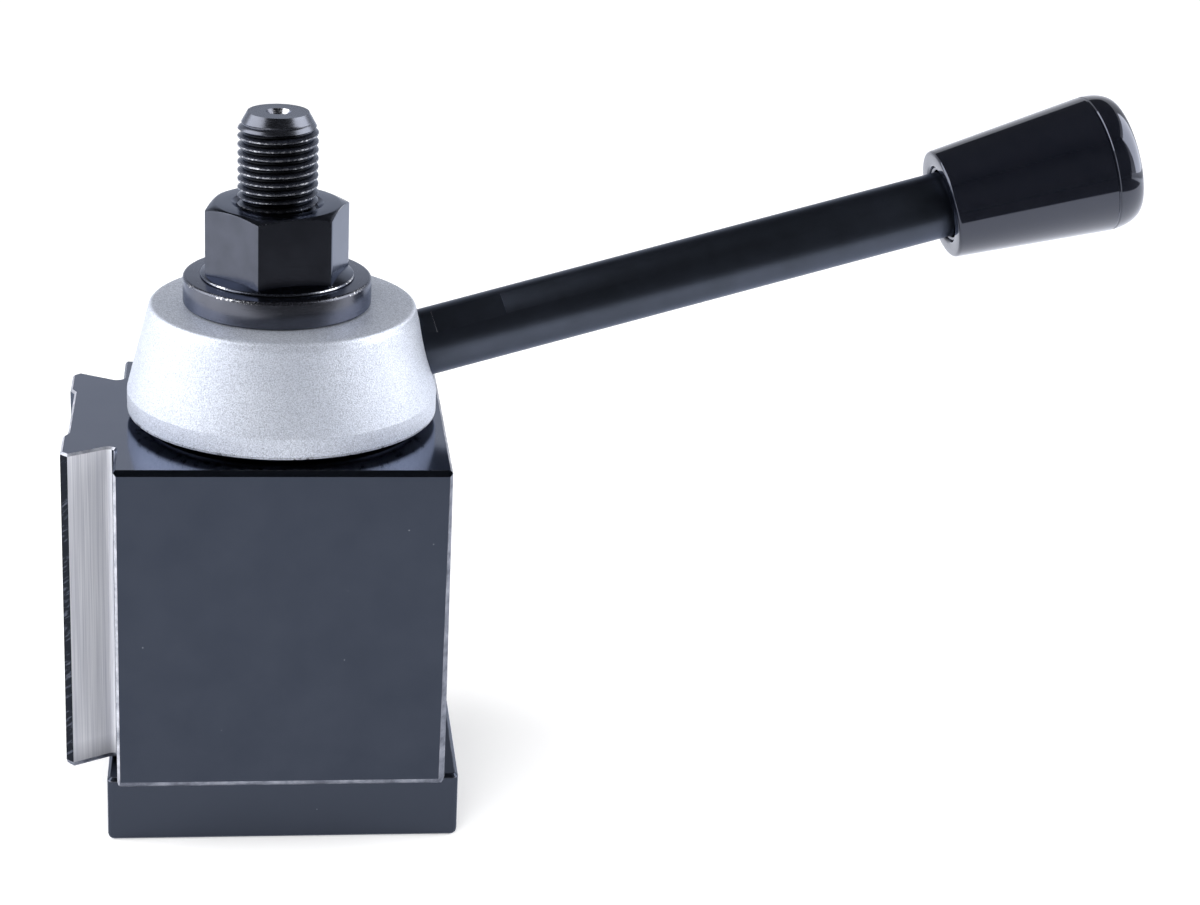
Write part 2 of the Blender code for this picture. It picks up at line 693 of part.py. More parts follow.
def make_cam():
    lower_journal_top = cam_bottom + CAM_LOWER_JOURNAL_HEIGHT
    upper_journal_bottom = station_z + CAM_LOBE_HALF_HEIGHT + CAM_UPPER_JOURNAL_CLEARANCE
    cam_flange_bottom = cam_flange_top - CAM_FLANGE_HEIGHT
    points = [
        (cam_bore_radius, cam_top),
        (CAM_NECK_RADIUS, cam_top),
        (CAM_NECK_RADIUS, cam_flange_top),
        (cam_flange_radius, cam_flange_top),
        (cam_flange_radius, cam_flange_bottom),
        (CAM_JOURNAL_RADIUS, cam_flange_bottom),
        (CAM_JOURNAL_RADIUS, upper_journal_bottom),
        (CAM_CORE_RADIUS, upper_journal_bottom),
        (CAM_CORE_RADIUS, lower_journal_top),
        (CAM_JOURNAL_RADIUS, lower_journal_top),
        (CAM_JOURNAL_RADIUS, cam_bottom),
        (cam_bore_radius, cam_bottom),
    ]
    cam = turned_part("cam_sleeve", points, bright("cam_hardened_steel"), MEDIUM, ring=True)
    outline = []
    count = 2 * MEDIUM
    for step in range(count):
        angle = 2 * math.pi * step / count
        radius = cam_radius(angle)
        outline.append((radius * math.cos(angle), radius * math.sin(angle)))
    middle = (cam_bore_radius + CAM_CORE_RADIUS) / 2
    lobe_mesh = flat_mesh("cam_lobes", [outline, circle_outline(middle, count=MEDIUM)], 2 * CAM_LOBE_HALF_HEIGHT)
    lobes = add_cutter("cam_lobes", lobe_mesh)
    lobes.location = (0.0, 0.0, station_z)
    boolean(cam, lobes, "UNION")
    pin_bottom = collar_pin_top - DRIVE_PIN_LENGTH
    for side in (1, -1):
        hole = turned_cutter(
            "cam_pin_hole",
            cylinder_points(DRIVE_PIN_RADIUS + SEAT_GAP, cam_top + CUT_MARGIN, pin_bottom - SEAT_GAP),
            COARSE // 2,
        )
        hole.location = (0.0, side * drive_pin_offset, 0.0)
        boolean(cam, hole)
    return cam


def make_snap_ring():
    """Open ring with an inward lug and an eye at each end, seen from above."""
    outer = BORE_RADIUS + SNAP_RING_BITE
    inner = outer - SNAP_RING_BAND - SNAP_RING_BITE
    lug = inner - SNAP_RING_LUG
    start = -math.pi / 2 + SNAP_RING_MOUTH / 2
    sweep = 2 * math.pi - SNAP_RING_MOUTH
    steps = MEDIUM
    points = []
    for step in range(steps + 1):
        angle = start + sweep * step / steps
        points.append((outer * math.cos(angle), outer * math.sin(angle)))
    for step in range(steps + 1):
        turn = sweep * (1 - step / steps)
        radius = inner
        if turn < SNAP_RING_LUG_SPAN or turn > sweep - SNAP_RING_LUG_SPAN:
            radius = lug
        points.append((radius * math.cos(start + turn), radius * math.sin(start + turn)))
    eyes = []
    for turn in (SNAP_RING_LUG_SPAN / 2, sweep - SNAP_RING_LUG_SPAN / 2):
        middle = (outer + lug) / 2
        centre = (middle * math.cos(start + turn), middle * math.sin(start + turn))
        eyes.append(circle_outline(SNAP_RING_EYE_RADIUS, centre, 12))
    mesh = flat_mesh("snap_ring", [points, *eyes], SNAP_RING_THICKNESS)
    ring = add_part("snap_ring", mesh, blackened("snap_ring_spring_steel"))
    ring.location = (0.0, 0.0, (snap_ring_top + snap_ring_bottom) / 2)


# Collar
collar_pin_top = cam_top + DRIVE_PIN_HEADROOM


def collar_cone_radius(height):
    """Radius of the collar's cone at a height above the mounting plate's underside."""
    return COLLAR_BASE_RADIUS - (height - cone_foot) * handle_climb


def make_collar():
    rim_foot = collar_top - COLLAR_RIM_RADIUS
    cone_top = collar_cone_radius(rim_foot)
    rim = arc(
        cone_top - COLLAR_RIM_RADIUS * math.cos(COLLAR_CONE_ANGLE),
        collar_top - COLLAR_RIM_RADIUS,
        COLLAR_RIM_RADIUS,
        90,
        math.degrees(COLLAR_CONE_ANGLE),
        3,
    )
    points = [
        (sleeve_hole_radius, collar_top),
        *rim,
        (COLLAR_BASE_RADIUS, cone_foot),
        (COLLAR_BASE_RADIUS, collar_bottom + COLLAR_BASE_CHAMFER),
        (COLLAR_BASE_RADIUS - COLLAR_BASE_CHAMFER, collar_bottom),
        (CAM_NECK_RADIUS + SEAT_GAP, collar_bottom),
        (CAM_NECK_RADIUS + SEAT_GAP, cam_top + SEAT_GAP),
        (sleeve_hole_radius, cam_top + SEAT_GAP),
    ]
    collar = turned_part("collar", points, bright("collar_satin_chrome", 0.45), FINE, ring=True)
    rod_hole = turned_cutter(
        "collar_rod_hole",
        [
            (0.0, rod_exit + CUT_MARGIN),
            (ROD_RADIUS + SEAT_GAP, rod_exit + CUT_MARGIN),
            (ROD_RADIUS + SEAT_GAP, rod_shoulder - SEAT_GAP),
            (ROD_TAIL_RADIUS + SEAT_GAP, rod_shoulder - SEAT_GAP),
            (ROD_TAIL_RADIUS + SEAT_GAP, rod_shoulder - ROD_TAIL_LENGTH - SEAT_GAP),
            (0.0, rod_shoulder - ROD_TAIL_LENGTH - SEAT_GAP),
        ],
    )
    on_handle(rod_hole)
    boolean(collar, rod_hole)
    pins = []
    for side, name in ((1, "drive_pin_back"), (-1, "drive_pin_front")):
        hole = turned_cutter(
            name + "_hole",
            cylinder_points(DRIVE_PIN_RADIUS + SEAT_GAP, collar_pin_top + SEAT_GAP, cam_top - CUT_MARGIN),
            COARSE // 2,
        )
        hole.location = (0.0, side * drive_pin_offset, 0.0)
        boolean(collar, hole)
        edge = SEAT_GAP
        bottom = collar_pin_top - DRIVE_PIN_LENGTH
        pin = turned_part(
            name,
            [
                (0.0, collar_pin_top),
                (DRIVE_PIN_RADIUS - edge, collar_pin_top),
                (DRIVE_PIN_RADIUS, collar_pin_top - edge),
                (DRIVE_PIN_RADIUS, bottom + edge),
                (DRIVE_PIN_RADIUS - edge, bottom),
                (0.0, bottom),
            ],
            bright("pin_steel"),
            COARSE // 2,
        )
        pin.location = (0.0, side * drive_pin_offset, 0.0)
        pins.append(pin)
    return [collar, *pins]


# Handle
def make_handle_rod():
    points = [
        (0.0, rod_end_shoulder + ROD_END_LENGTH),
        (ROD_END_RADIUS - ROD_CHAMFER, rod_end_shoulder + ROD_END_LENGTH),
        (ROD_END_RADIUS, rod_end_shoulder + ROD_END_LENGTH - ROD_CHAMFER),
        (ROD_END_RADIUS, rod_end_shoulder),
        (ROD_RADIUS - ROD_CHAMFER, rod_end_shoulder),
        (ROD_RADIUS, rod_end_shoulder - ROD_CHAMFER),
        (ROD_RADIUS, rod_shoulder),
        (ROD_TAIL_RADIUS, rod_shoulder),
        (ROD_TAIL_RADIUS, rod_shoulder - ROD_TAIL_LENGTH + ROD_CHAMFER),
        (ROD_TAIL_RADIUS - ROD_CHAMFER, rod_shoulder - ROD_TAIL_LENGTH),
        (0.0, rod_shoulder - ROD_TAIL_LENGTH),
    ]
    rod = turned_part("handle_rod", points, blackened("rod_black_oxide"))
    on_handle(rod)
    flat_start = rod_exit + FLATS_OFFSET
    for side in (1, -1):
        flat = box_cutter(
            "rod_flat",
            (2 * ROD_RADIUS, ROD_RADIUS, FLATS_LENGTH),
            (0.0, side * (FLATS_ACROSS / 2 + ROD_RADIUS / 2), flat_start + FLATS_LENGTH / 2),
        )
        on_handle(flat)
        flat.rotation_euler = (handle_turn.to_matrix() @ Matrix.Rotation(FLATS_ROLL, 3, "Z")).to_euler()
        boolean(rod, flat)
    return rod


def make_knob():
    knob_end = KNOB_START + KNOB_LENGTH
    insert_end = insert_start + INSERT_LENGTH
    rounded = []
    for radius, height in arc(0.0, 0.0, 1.0, 90, 0, 5):
        radius_here = KNOB_LARGE_RADIUS - KNOB_END_DROP * (1.0 - radius)
        rounded.append((radius_here, knob_end - KNOB_LARGE_EDGE * (1.0 - height)))
    points = [
        (0.0, knob_end),
        *rounded,
        (KNOB_SMALL_RADIUS, KNOB_START + KNOB_SMALL_EDGE),
        (KNOB_SMALL_RADIUS - KNOB_SMALL_EDGE, KNOB_START),
        (KNOB_MOUTH_RADIUS, KNOB_START),
        (KNOB_MOUTH_RADIUS, insert_start - SEAT_GAP),
        (INSERT_RADIUS + SEAT_GAP, insert_start - SEAT_GAP),
        (INSERT_RADIUS + SEAT_GAP, insert_end + SEAT_GAP),
        (0.0, insert_end + SEAT_GAP),
    ]
    knob = turned_part("knob", points, new_material("knob_phenolic", (0.01, 0.01, 0.012), 0.08, 0.0))
    on_handle(knob)
    insert = turned_part(
        "knob_insert",
        ring_points(ROD_END_RADIUS + SEAT_GAP, INSERT_RADIUS, insert_end, insert_start + SEAT_GAP),
        new_material("insert_brass", (0.6, 0.45, 0.15), 0.35, 1.0),
        COARSE,
        ring=True,
    )
    on_handle(insert)
    return [knob, insert]


# Washer and nut
def make_washer():
    washer = turned_part(
        "clamp_washer",
        rounded_ring_points(WASHER_BORE_RADIUS, WASHER_RADIUS, washer_top, washer_bottom, WASHER_EDGE),
        blackened("washer_black_oxide"),
        FINE,
        ring=True,
    )
    washer.location.x = STUD_SHIFT
    return washer


def make_nut():
    corner_radius = NUT_ACROSS_FLATS / 2 / math.cos(math.pi / 6)
    mesh = bpy.data.meshes.new("clamp_nut")
    shape = bmesh.new()
    bmesh.ops.create_cone(
        shape,
        cap_ends=True,
        segments=6,
        radius1=corner_radius,
        radius2=corner_radius,
        depth=NUT_HEX_HEIGHT,
        matrix=Matrix.Rotation(NUT_TURN, 4, "Z"),
    )
    bmesh.ops.translate(shape, vec=Vector((0.0, 0.0, nut_hex_bottom + NUT_HEX_HEIGHT / 2)), verts=shape.verts)
    shape.to_mesh(mesh)
    shape.free()
    nut = add_part("clamp_nut", mesh, blackened("nut_black_oxide"))
    reach = corner_radius + CUT_MARGIN
    drop = (reach - NUT_TOP_FLAT) * math.tan(NUT_CHAMFER_ANGLE)
    envelope = turned_cutter(
        "nut_top_chamfer",
        [
            (0.0, nut_top),
            (NUT_TOP_FLAT, nut_top),
            (reach, nut_top - drop),
            (reach, nut_hex_bottom - CUT_MARGIN),
            (0.0, nut_hex_bottom - CUT_MARGIN),
        ],
    )
    boolean(nut, envelope, "INTERSECT")
    overlap = NUT_FLANGE_HEIGHT / 2
    flange = turned_cutter(
        "nut_flange",
        cylinder_points(NUT_FLANGE_RADIUS, nut_hex_bottom + overlap, nut_bottom),
    )
    boolean(nut, flange, "UNION")
    hole = stud_hole_radius
    bore = turned_cutter(
        "nut_bore",
        [
            (0.0, nut_top + CUT_MARGIN),
            (hole + NUT_COUNTERSINK + CUT_MARGIN, nut_top + CUT_MARGIN),
            (hole, nut_top - NUT_COUNTERSINK),
            (hole, nut_bottom - CUT_MARGIN),
            (0.0, nut_bottom - CUT_MARGIN),
        ],
    )
    boolean(nut, bore)
    for item in (nut, envelope, flange, bore):
        item.location.x = STUD_SHIFT
    return nut


# Pistons, their springs and guide bushes
def make_station(name, angle):
    nose_centre = nose_in + NOSE_RADIUS
    nose = [(0.0, nose_in)]
    nose_steps = 5
    for step in range(1, nose_steps + 1):
        lift = math.pi / 2 * step / nose_steps
        nose.append((NOSE_RADIUS * math.sin(lift), nose_centre - NOSE_RADIUS * math.cos(lift)))
    points = [
        (0.0, piston_out),
        (STEM_RADIUS - PISTON_EDGE, piston_out),
        (STEM_RADIUS, piston_out - PISTON_EDGE),
        (STEM_RADIUS, head_out),
        (HEAD_RADIUS, head_out),
        (HEAD_RADIUS, head_in),
        (NOSE_RADIUS, head_in),
        *reversed(nose),
    ]
    piston = turned_part(name + "_piston", points, bright("piston_hardened_steel"), COARSE)
    on_station(piston, angle)
    bush = turned_part(
        name + "_guide_bush",
        ring_points(STEM_RADIUS + RUN_GAP, BUSH_RADIUS, bush_out, bush_in),
        blackened("bush_black_oxide"),
        COARSE,
        ring=True,
    )
    on_station(bush, angle)
    slot = box_cutter(
        name + "_bush_slot",
        (2 * BUSH_RADIUS + CUT_MARGIN, BUSH_SLOT_WIDTH, 2 * BUSH_SLOT_DEPTH),
        (0.0, 0.0, bush_out),
    )
    on_station(slot, angle)
    boolean(bush, slot)
    spring = make_spring(name + "_return_spring")
    on_station(spring, angle)


def make_spring(name):
    """Round wire wound between the piston's head and its bush."""
    coil_radius = (STEM_RADIUS + piston_bore_radius) / 2
    first = head_out + SEAT_GAP + SPRING_WIRE_RADIUS
    last = bush_in - SEAT_GAP - SPRING_WIRE_RADIUS
    per_turn = 14
    count = SPRING_TURNS * per_turn
    curve = bpy.data.curves.new(name, "CURVE")
    curve.dimensions = "3D"
    curve.bevel_depth = SPRING_WIRE_RADIUS
    curve.bevel_resolution = 2
    curve.use_fill_caps = True
    spline = curve.splines.new("POLY")
    spline.points.add(count)
    for step, point in enumerate(spline.points):
        angle = 2 * math.pi * step / per_turn
        height = first + (last - first) * step / count
        point.co = (coil_radius * math.cos(angle), coil_radius * math.sin(angle), height, 1.0)
    mesh = mesh_from_curve(name, curve)
    return add_part(name, mesh, bright("spring_wire", 0.35))


make_plate()
make_stud()
make_block()
make_sleeve()
make_thrust_washers()
make_snap_ring()
make_station("left", LEFT_STATION_ANGLE)
make_station("back", BACK_STATION_ANGLE)

cam_pivot = make_pivot("cam_pivot", (0.0, 0.0, station_z))
for piece in [make_cam(), *make_collar(), make_handle_rod(), *make_knob()]:
    parent_keep_place(piece, cam_pivot)

nut_pivot = make_pivot("nut_pivot", (STUD_SHIFT, 0.0, nut_bottom))
for piece in (make_washer(), make_nut()):
    parent_keep_place(piece, nut_pivot)

for part in part_collection.objects:
    if part.type == "MESH":
        smooth(part.data)
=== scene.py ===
import math

import bmesh
import bpy
from mathutils import Euler, Matrix, Vector


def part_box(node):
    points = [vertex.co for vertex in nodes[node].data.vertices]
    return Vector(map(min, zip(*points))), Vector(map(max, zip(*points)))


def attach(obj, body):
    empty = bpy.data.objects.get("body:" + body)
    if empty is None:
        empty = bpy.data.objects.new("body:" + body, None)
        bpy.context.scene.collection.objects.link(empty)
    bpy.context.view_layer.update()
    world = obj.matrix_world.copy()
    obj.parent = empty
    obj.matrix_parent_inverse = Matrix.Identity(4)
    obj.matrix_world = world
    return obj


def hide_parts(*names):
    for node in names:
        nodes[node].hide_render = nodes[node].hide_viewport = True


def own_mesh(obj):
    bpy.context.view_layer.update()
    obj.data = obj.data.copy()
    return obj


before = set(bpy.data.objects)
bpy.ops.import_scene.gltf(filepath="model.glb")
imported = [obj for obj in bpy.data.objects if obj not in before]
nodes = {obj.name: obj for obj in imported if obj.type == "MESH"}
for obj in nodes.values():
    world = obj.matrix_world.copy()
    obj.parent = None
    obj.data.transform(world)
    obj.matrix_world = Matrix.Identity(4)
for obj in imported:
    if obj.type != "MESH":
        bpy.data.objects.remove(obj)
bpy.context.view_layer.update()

mm = 0.001
print("frame loaded:", len(nodes), "nodes")


# Colours are written as sRGB hex and mixed as linear values
def hexColour(text):
    parts = [int(text[start:start + 2], 16) / 255 for start in (1, 3, 5)]
    linear = [part / 12.92 if part <= 0.04045 else ((part + 0.055) / 1.055) ** 2.4 for part in parts]
    return (*linear, 1.0)


def setInputs(tree, node, inputs):
    # An input is a hex colour, a plain value, a socket, or a node whose first active output is linked
    for name, source in inputs.items():
        if isinstance(source, bpy.types.Node):
            source = next(output for output in source.outputs if output.enabled)
        if isinstance(source, bpy.types.NodeSocket):
            tree.links.new(source, node.inputs[name])
        else:
            node.inputs[name].default_value = hexColour(source) if isinstance(source, str) else source


def addNode(tree, kind, inputs=None, **settings):
    node = tree.nodes.new(kind)
    for name, value in settings.items():
        setattr(node, name, value)
    setInputs(tree, node, inputs or {})
    return node


def newMaterial(name):
    material = bpy.data.materials.new(name)
    material.use_nodes = True
    tree = material.node_tree
    return material, tree, tree.nodes["Principled BSDF"]


# Places taken from the frame, in metres
blockLow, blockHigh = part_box("post_block")
studLow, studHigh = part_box("clamp_stud")
washerLow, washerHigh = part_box("clamp_washer")
nutLow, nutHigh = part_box("clamp_nut")
collarLow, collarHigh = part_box("collar")
ringLow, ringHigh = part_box("upper_thrust_ring")
studX = (studLow.x + studHigh.x) / 2
blockHalf = -blockLow.y

# The handle's own frame: its axis crosses the collar's axis and rises at the cone's angle
handle = {
    "azimuth": math.radians(5.3),
    "climb": math.radians(14.3),
    "height": 78.1 * mm,
}
handleTurn = Euler((0.0, math.pi / 2 - handle["climb"], handle["azimuth"]), "XYZ")
handleCentre = (0.0, 0.0, handle["height"])
handlePlace = Matrix.Translation(handleCentre) @ handleTurn.to_matrix().to_4x4()


# Mesh tools
def arcPoints(centre, radius, start, end, count):
    points = []
    for step in range(count + 1):
        angle = math.radians(start + (end - start) * step / count)
        points.append((centre[0] + radius * math.cos(angle), centre[1] + radius * math.sin(angle)))
    return points


def roundedProfile(corners, count=4):
    # Corners are (radius, height, rounding); a rounding of zero leaves the corner sharp
    points = []
    for index, (x, z, rounding) in enumerate(corners):
        if rounding == 0 or index in (0, len(corners) - 1):
            points.append((x, z))
            continue
        here = Vector((x, z))
        before = (Vector(corners[index - 1][:2]) - here).normalized()
        after = (Vector(corners[index + 1][:2]) - here).normalized()
        halfAngle = before.angle(after) / 2
        reach = rounding / math.tan(halfAngle)
        middle = here + (before + after).normalized() * rounding / math.sin(halfAngle)
        first = here + before * reach - middle
        last = here + after * reach - middle
        sweep = first.angle_signed(last)
        for step in range(count + 1):
            spoke = first.copy()
            spoke.rotate(Matrix.Rotation(-sweep * step / count, 2))
            points.append(tuple(middle + spoke))
    return points


def gridShape(columns, closed=False):
    # Columns of points, with faces between neighbours
    shape = bmesh.new()
    rows = [[shape.verts.new(point) for point in column] for column in columns]
    ends = rows[:1] if closed else []
    for here, there in zip(rows, rows[1:] + ends):
        for index in range(len(here) - 1):
            shape.faces.new((here[index], here[index + 1], there[index + 1], there[index]))
    return shape


def spinMesh(points, steps, closed=False):
    # Turns a profile of (radius, height) points round the Z axis into a closed skin
    profile = [*points, points[0]] if closed else points
    columns = []
    for step in range(steps):
        angle = 2 * math.pi * step / steps
        columns.append([(x * math.cos(angle), x * math.sin(angle), z) for x, z in profile])
    shape = gridShape(columns, closed=True)
    bmesh.ops.remove_doubles(shape, verts=shape.verts, dist=0.001 * mm)
    bmesh.ops.recalc_face_normals(shape, faces=shape.faces)
    return shape


def boxShape(place, size):
    shape = bmesh.new()
    bmesh.ops.create_cube(shape, size=1.0)
    shape.transform(place @ Matrix.Diagonal((*size, 1.0)))
    return shape


def copySolid(node):
    # The frame's loose triangles, merged into one skin
    shape = bmesh.new()
    shape.from_mesh(nodes[node].data)
    bmesh.ops.remove_doubles(shape, verts=shape.verts, dist=0.002 * mm)
    return shape


def breakEdges(shape, sharpFrom, width, slot, clearRadius=0.0):
    # Joins flat triangles and rounds the sharp edges, apart from those of the bore
    bmesh.ops.dissolve_limit(shape, angle_limit=math.radians(0.5), verts=shape.verts, edges=shape.edges)
    sharp = []
    for edge in shape.edges:
        middle = (edge.verts[0].co + edge.verts[1].co) / 2
        outside = math.hypot(middle.x, middle.y) >= clearRadius
        if outside and len(edge.link_faces) == 2 and edge.calc_face_angle() > math.radians(sharpFrom):
            sharp.append(edge)
    bmesh.ops.bevel(
        shape, geom=sharp, offset=width, segments=2, profile=0.5, affect="EDGES",
        clamp_overlap=True, material=slot,
    )


def markFaces(shape, isMarked):
    # The second finish goes on the faces picked by their radius, height and upward slope
    for face in shape.faces:
        middle = face.calc_center_median()
        marked = isMarked(math.hypot(middle.x, middle.y), middle.z, face.normal.z)
        face.material_index = 1 if marked else 0


def smoothMesh(mesh, sharpAngle=32):
    mesh.shade_smooth()
    mesh.set_sharp_from_angle(angle=math.radians(sharpAngle))


def addPiece(name, shape, materials, sharpAngle=32):
    mesh = bpy.data.meshes.new(name)
    shape.to_mesh(mesh)
    shape.free()
    smoothMesh(mesh, sharpAngle)
    piece = bpy.data.objects.new(name, mesh)
    bpy.context.scene.collection.objects.link(piece)
    for material in materials:
        mesh.materials.append(material)
    return piece


def flatten(mesh, slots):
    # Keeps the broad faces of these finishes flat beside their rounded edges
    for polygon in mesh.polygons:
        if polygon.material_index in slots:
            polygon.use_smooth = False


def settle(piece, body, slotName, *replaced):
    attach(piece, body)
    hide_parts(*replaced)


def bakeModifiers(piece):
    bpy.context.view_layer.update()
    evaluated = piece.evaluated_get(bpy.context.evaluated_depsgraph_get())
    mesh = bpy.data.meshes.new_from_object(evaluated)
    piece.modifiers.clear()
    piece.data = mesh


def cutAway(piece, shape):
    # Cuts a closed shape out of a piece and keeps the result as a plain mesh
    cutter = addPiece("cutter", shape, [])
    cut = piece.modifiers.new("cut", "BOOLEAN")
    cut.object = cutter
    cut.solver = "EXACT"
    bakeModifiers(piece)
    bpy.data.objects.remove(cutter)


# Finishes
noiseMiddle = {"From Min": 0.3, "From Max": 0.7}  # where most of a noise's values lie
fullReach = {"From Min": 0.0, "From Max": 1.0}  # for a pattern that is a share already


def objectPlace(tree, centre=(0, 0, 0), turn=(0, 0, 0)):
    place = addNode(tree, "ShaderNodeTexCoord").outputs["Object"]
    inputs = {"Location": centre, "Rotation": turn, "Vector": place}
    return addNode(tree, "ShaderNodeMapping", inputs, vector_type="TEXTURE")


def fromAxis(tree, parts):
    # Distance from the local Z axis
    flat = addNode(tree, "ShaderNodeCombineXYZ", {"X": parts["X"], "Y": parts["Y"]})
    return addNode(tree, "ShaderNodeVectorMath", {0: flat}, operation="LENGTH")


def latheLines(tree, place, spacing, around):
    # Fine lines round an axis: the pattern changes fast along and across it, and slowly round it
    parts = addNode(tree, "ShaderNodeSeparateXYZ", {"Vector": place}).outputs
    angle = addNode(tree, "ShaderNodeMath", {0: parts["Y"], 1: parts["X"]}, operation="ARCTAN2")
    slow = addNode(tree, "ShaderNodeMath", {0: angle, 1: around}, operation="MULTIPLY")
    unrolled = addNode(
        tree, "ShaderNodeCombineXYZ", {"X": fromAxis(tree, parts), "Y": parts["Z"], "Z": slow},
    )
    return addNode(
        tree, "ShaderNodeTexNoise",
        {"Scale": 1 / spacing, "Detail": 3.0, "Roughness": 0.6, "Vector": unrolled},
    )


def stretchedLines(tree, place, spacing, length, turn=(0, 0, 0)):
    # Lines along the local Z axis, spacing apart and about length long
    stretched = addNode(
        tree, "ShaderNodeMapping",
        {"Rotation": turn, "Scale": (1.0, 1.0, spacing / length), "Vector": place},
    )
    return addNode(
        tree, "ShaderNodeTexNoise",
        {"Scale": 1 / spacing, "Detail": 2.0, "Roughness": 0.6, "Vector": stretched},
    )


def paint(tree, under, over, pattern, low=0.0, high=1.0, reach=noiseMiddle):
    # Lays a colour over another, its share going from low to high as the pattern runs through its reach
    share = addNode(
        tree, "ShaderNodeMapRange", {**reach, "Value": pattern, "To Min": low, "To Max": high},
    )
    return addNode(tree, "ShaderNodeMix", {"Factor": share, "A": under, "B": over}, data_type="RGBA")


steel = {"Metallic": 1.0, "Specular Tint": "#e0e6f4"}


def dressSurface(tree, shader, colour, pattern, roughness, lift, finish=steel, relief=None):
    # A noise varies the roughness between two values, and it or another relief lifts the skin
    low, high = roughness
    rough = addNode(
        tree, "ShaderNodeMapRange", {**noiseMiddle, "Value": pattern, "To Min": low, "To Max": high},
    )
    bump = addNode(
        tree, "ShaderNodeBump", {"Strength": 1.0, "Distance": lift, "Height": relief or pattern},
    )
    setInputs(tree, shader, {**finish, "Base Color": colour, "Roughness": rough, "Normal": bump})


oxide = {
    "colour": "#353a45",
    "pale": "#3d424d",
    "roughness": 0.13,
    "mottle": 9 * mm,
    "grain": 0.35 * mm,
    "lift": 0.0012 * mm,
    "dustSpacing": 5 * mm,
    "dustSize": 0.022,
    "dust": "#7d828c",
}


def groundOxide(name, look=oxide):
    # Black oxide on surface-ground steel: an even blue-black satin with faint clouds and a little dust
    material, tree, shader = newMaterial(name)
    place = objectPlace(tree)
    clouds = addNode(
        tree, "ShaderNodeTexNoise",
        {"Scale": 1 / look["mottle"], "Detail": 4.0, "Roughness": 0.55, "Vector": place},
    )
    grain = addNode(
        tree, "ShaderNodeTexNoise", {"Scale": 1 / look["grain"], "Detail": 2.0, "Vector": place},
    )
    cells = addNode(
        tree, "ShaderNodeTexVoronoi",
        {"Scale": 1 / look["dustSpacing"], "Randomness": 1.0, "Vector": place},
    )
    speck = addNode(tree, "ShaderNodeMath", {0: cells, 1: look["dustSize"]}, operation="LESS_THAN")
    colour = paint(tree, look["colour"], look["pale"], clouds, 0.0, 0.5)
    colour = paint(tree, colour, look["dust"], speck, reach=fullReach)
    roughness = (look["roughness"] - 0.01, look["roughness"] + 0.01)
    dressSurface(tree, shader, colour, clouds, roughness, look["lift"], relief=grain)
    return material


crest = {
    "bare": "#d4d6de",
    "speck": 0.7 * mm,
    # the roots are darkened as painted shade, fading out towards the crests
    "rootShadeColour": "#17181b",
    "fade": 0.06 * mm,
    "rootShadeFrom": 0.75 * mm,
    "rootShadeTo": 0.15 * mm,
    "tip": 3.0 * mm,
}


def wornCrestsAndRootShade(tree, place, colour, radius):
    # Specks of bare steel where the thread's crests have been rubbed, over painted shade in the roots
    patches = addNode(
        tree, "ShaderNodeTexNoise",
        {"Scale": 1 / crest["speck"], "Detail": 3.0, "Roughness": 0.7, "Vector": place},
    )
    parts = addNode(tree, "ShaderNodeSeparateXYZ", {"Vector": place}).outputs
    out = fromAxis(tree, parts)
    onCrest = addNode(
        tree, "ShaderNodeMapRange", {"Value": out, "From Min": radius, "From Max": radius + crest["fade"]},
    )
    share = addNode(
        tree, "ShaderNodeMapRange", {**noiseMiddle, "Value": patches, "To Min": -0.8, "To Max": 1.0},
    )
    worn = addNode(tree, "ShaderNodeMath", {0: onCrest, 1: share}, operation="MULTIPLY")
    rootShadeShare = addNode(
        tree, "ShaderNodeMapRange",
        {"Value": out, "From Min": radius - crest["rootShadeFrom"], "From Max": radius - crest["rootShadeTo"]},
    )
    # The tip's cone is narrower than the crests and gets no painted root shade
    tipFrom = studHigh.z - crest["tip"]
    onTip = addNode(tree, "ShaderNodeMath", {0: parts["Z"], 1: tipFrom}, operation="GREATER_THAN")
    shown = addNode(tree, "ShaderNodeMath", {0: rootShadeShare, 1: onTip}, operation="MAXIMUM")
    colour = paint(tree, crest["rootShadeColour"], colour, shown, reach=fullReach)
    return paint(tree, colour, crest["bare"], worn, reach=fullReach)


# What turned pieces share; each piece's look changes what it needs
turned = {
    "mottle": 5 * mm,
    "spacing": 0.15 * mm,
    "around": 0.5,
    "lift": 0.002 * mm,
}


def turnedOxide(name, look, centre=(0, 0, 0), turn=(0, 0, 0)):
    # Black oxide on a turned piece: fine lathe lines that carry the highlights round it
    material, tree, shader = newMaterial(name)
    place = objectPlace(tree, centre, turn)
    lines = latheLines(tree, place, look["spacing"], look["around"] * mm)
    clouds = addNode(
        tree, "ShaderNodeTexNoise", {"Scale": 1 / look["mottle"], "Detail": 4.0, "Vector": place},
    )
    colour = paint(tree, look["colour"], look["pale"], clouds)
    # Rubbed crests, and painted shade in the thread's roots
    if "wornFrom" in look:
        colour = wornCrestsAndRootShade(tree, place, colour, look["wornFrom"])
    roughness = (look["roughness"] - 0.04, look["roughness"] + 0.04)
    dressSurface(tree, shader, colour, lines, roughness, look["lift"])
    return material


def turnedBright(name, dark, light, roughness, centre=(0, 0, 0), turn=(0, 0, 0)):
    # Bare metal as it leaves the lathe: fine rings in a plain bright skin
    look = {
        "colour": dark, "pale": light, "roughness": roughness, "mottle": 6 * mm,
        "spacing": 0.18 * mm, "around": 0.4, "lift": 0.003 * mm,
    }
    return turnedOxide(name, look, centre, turn)


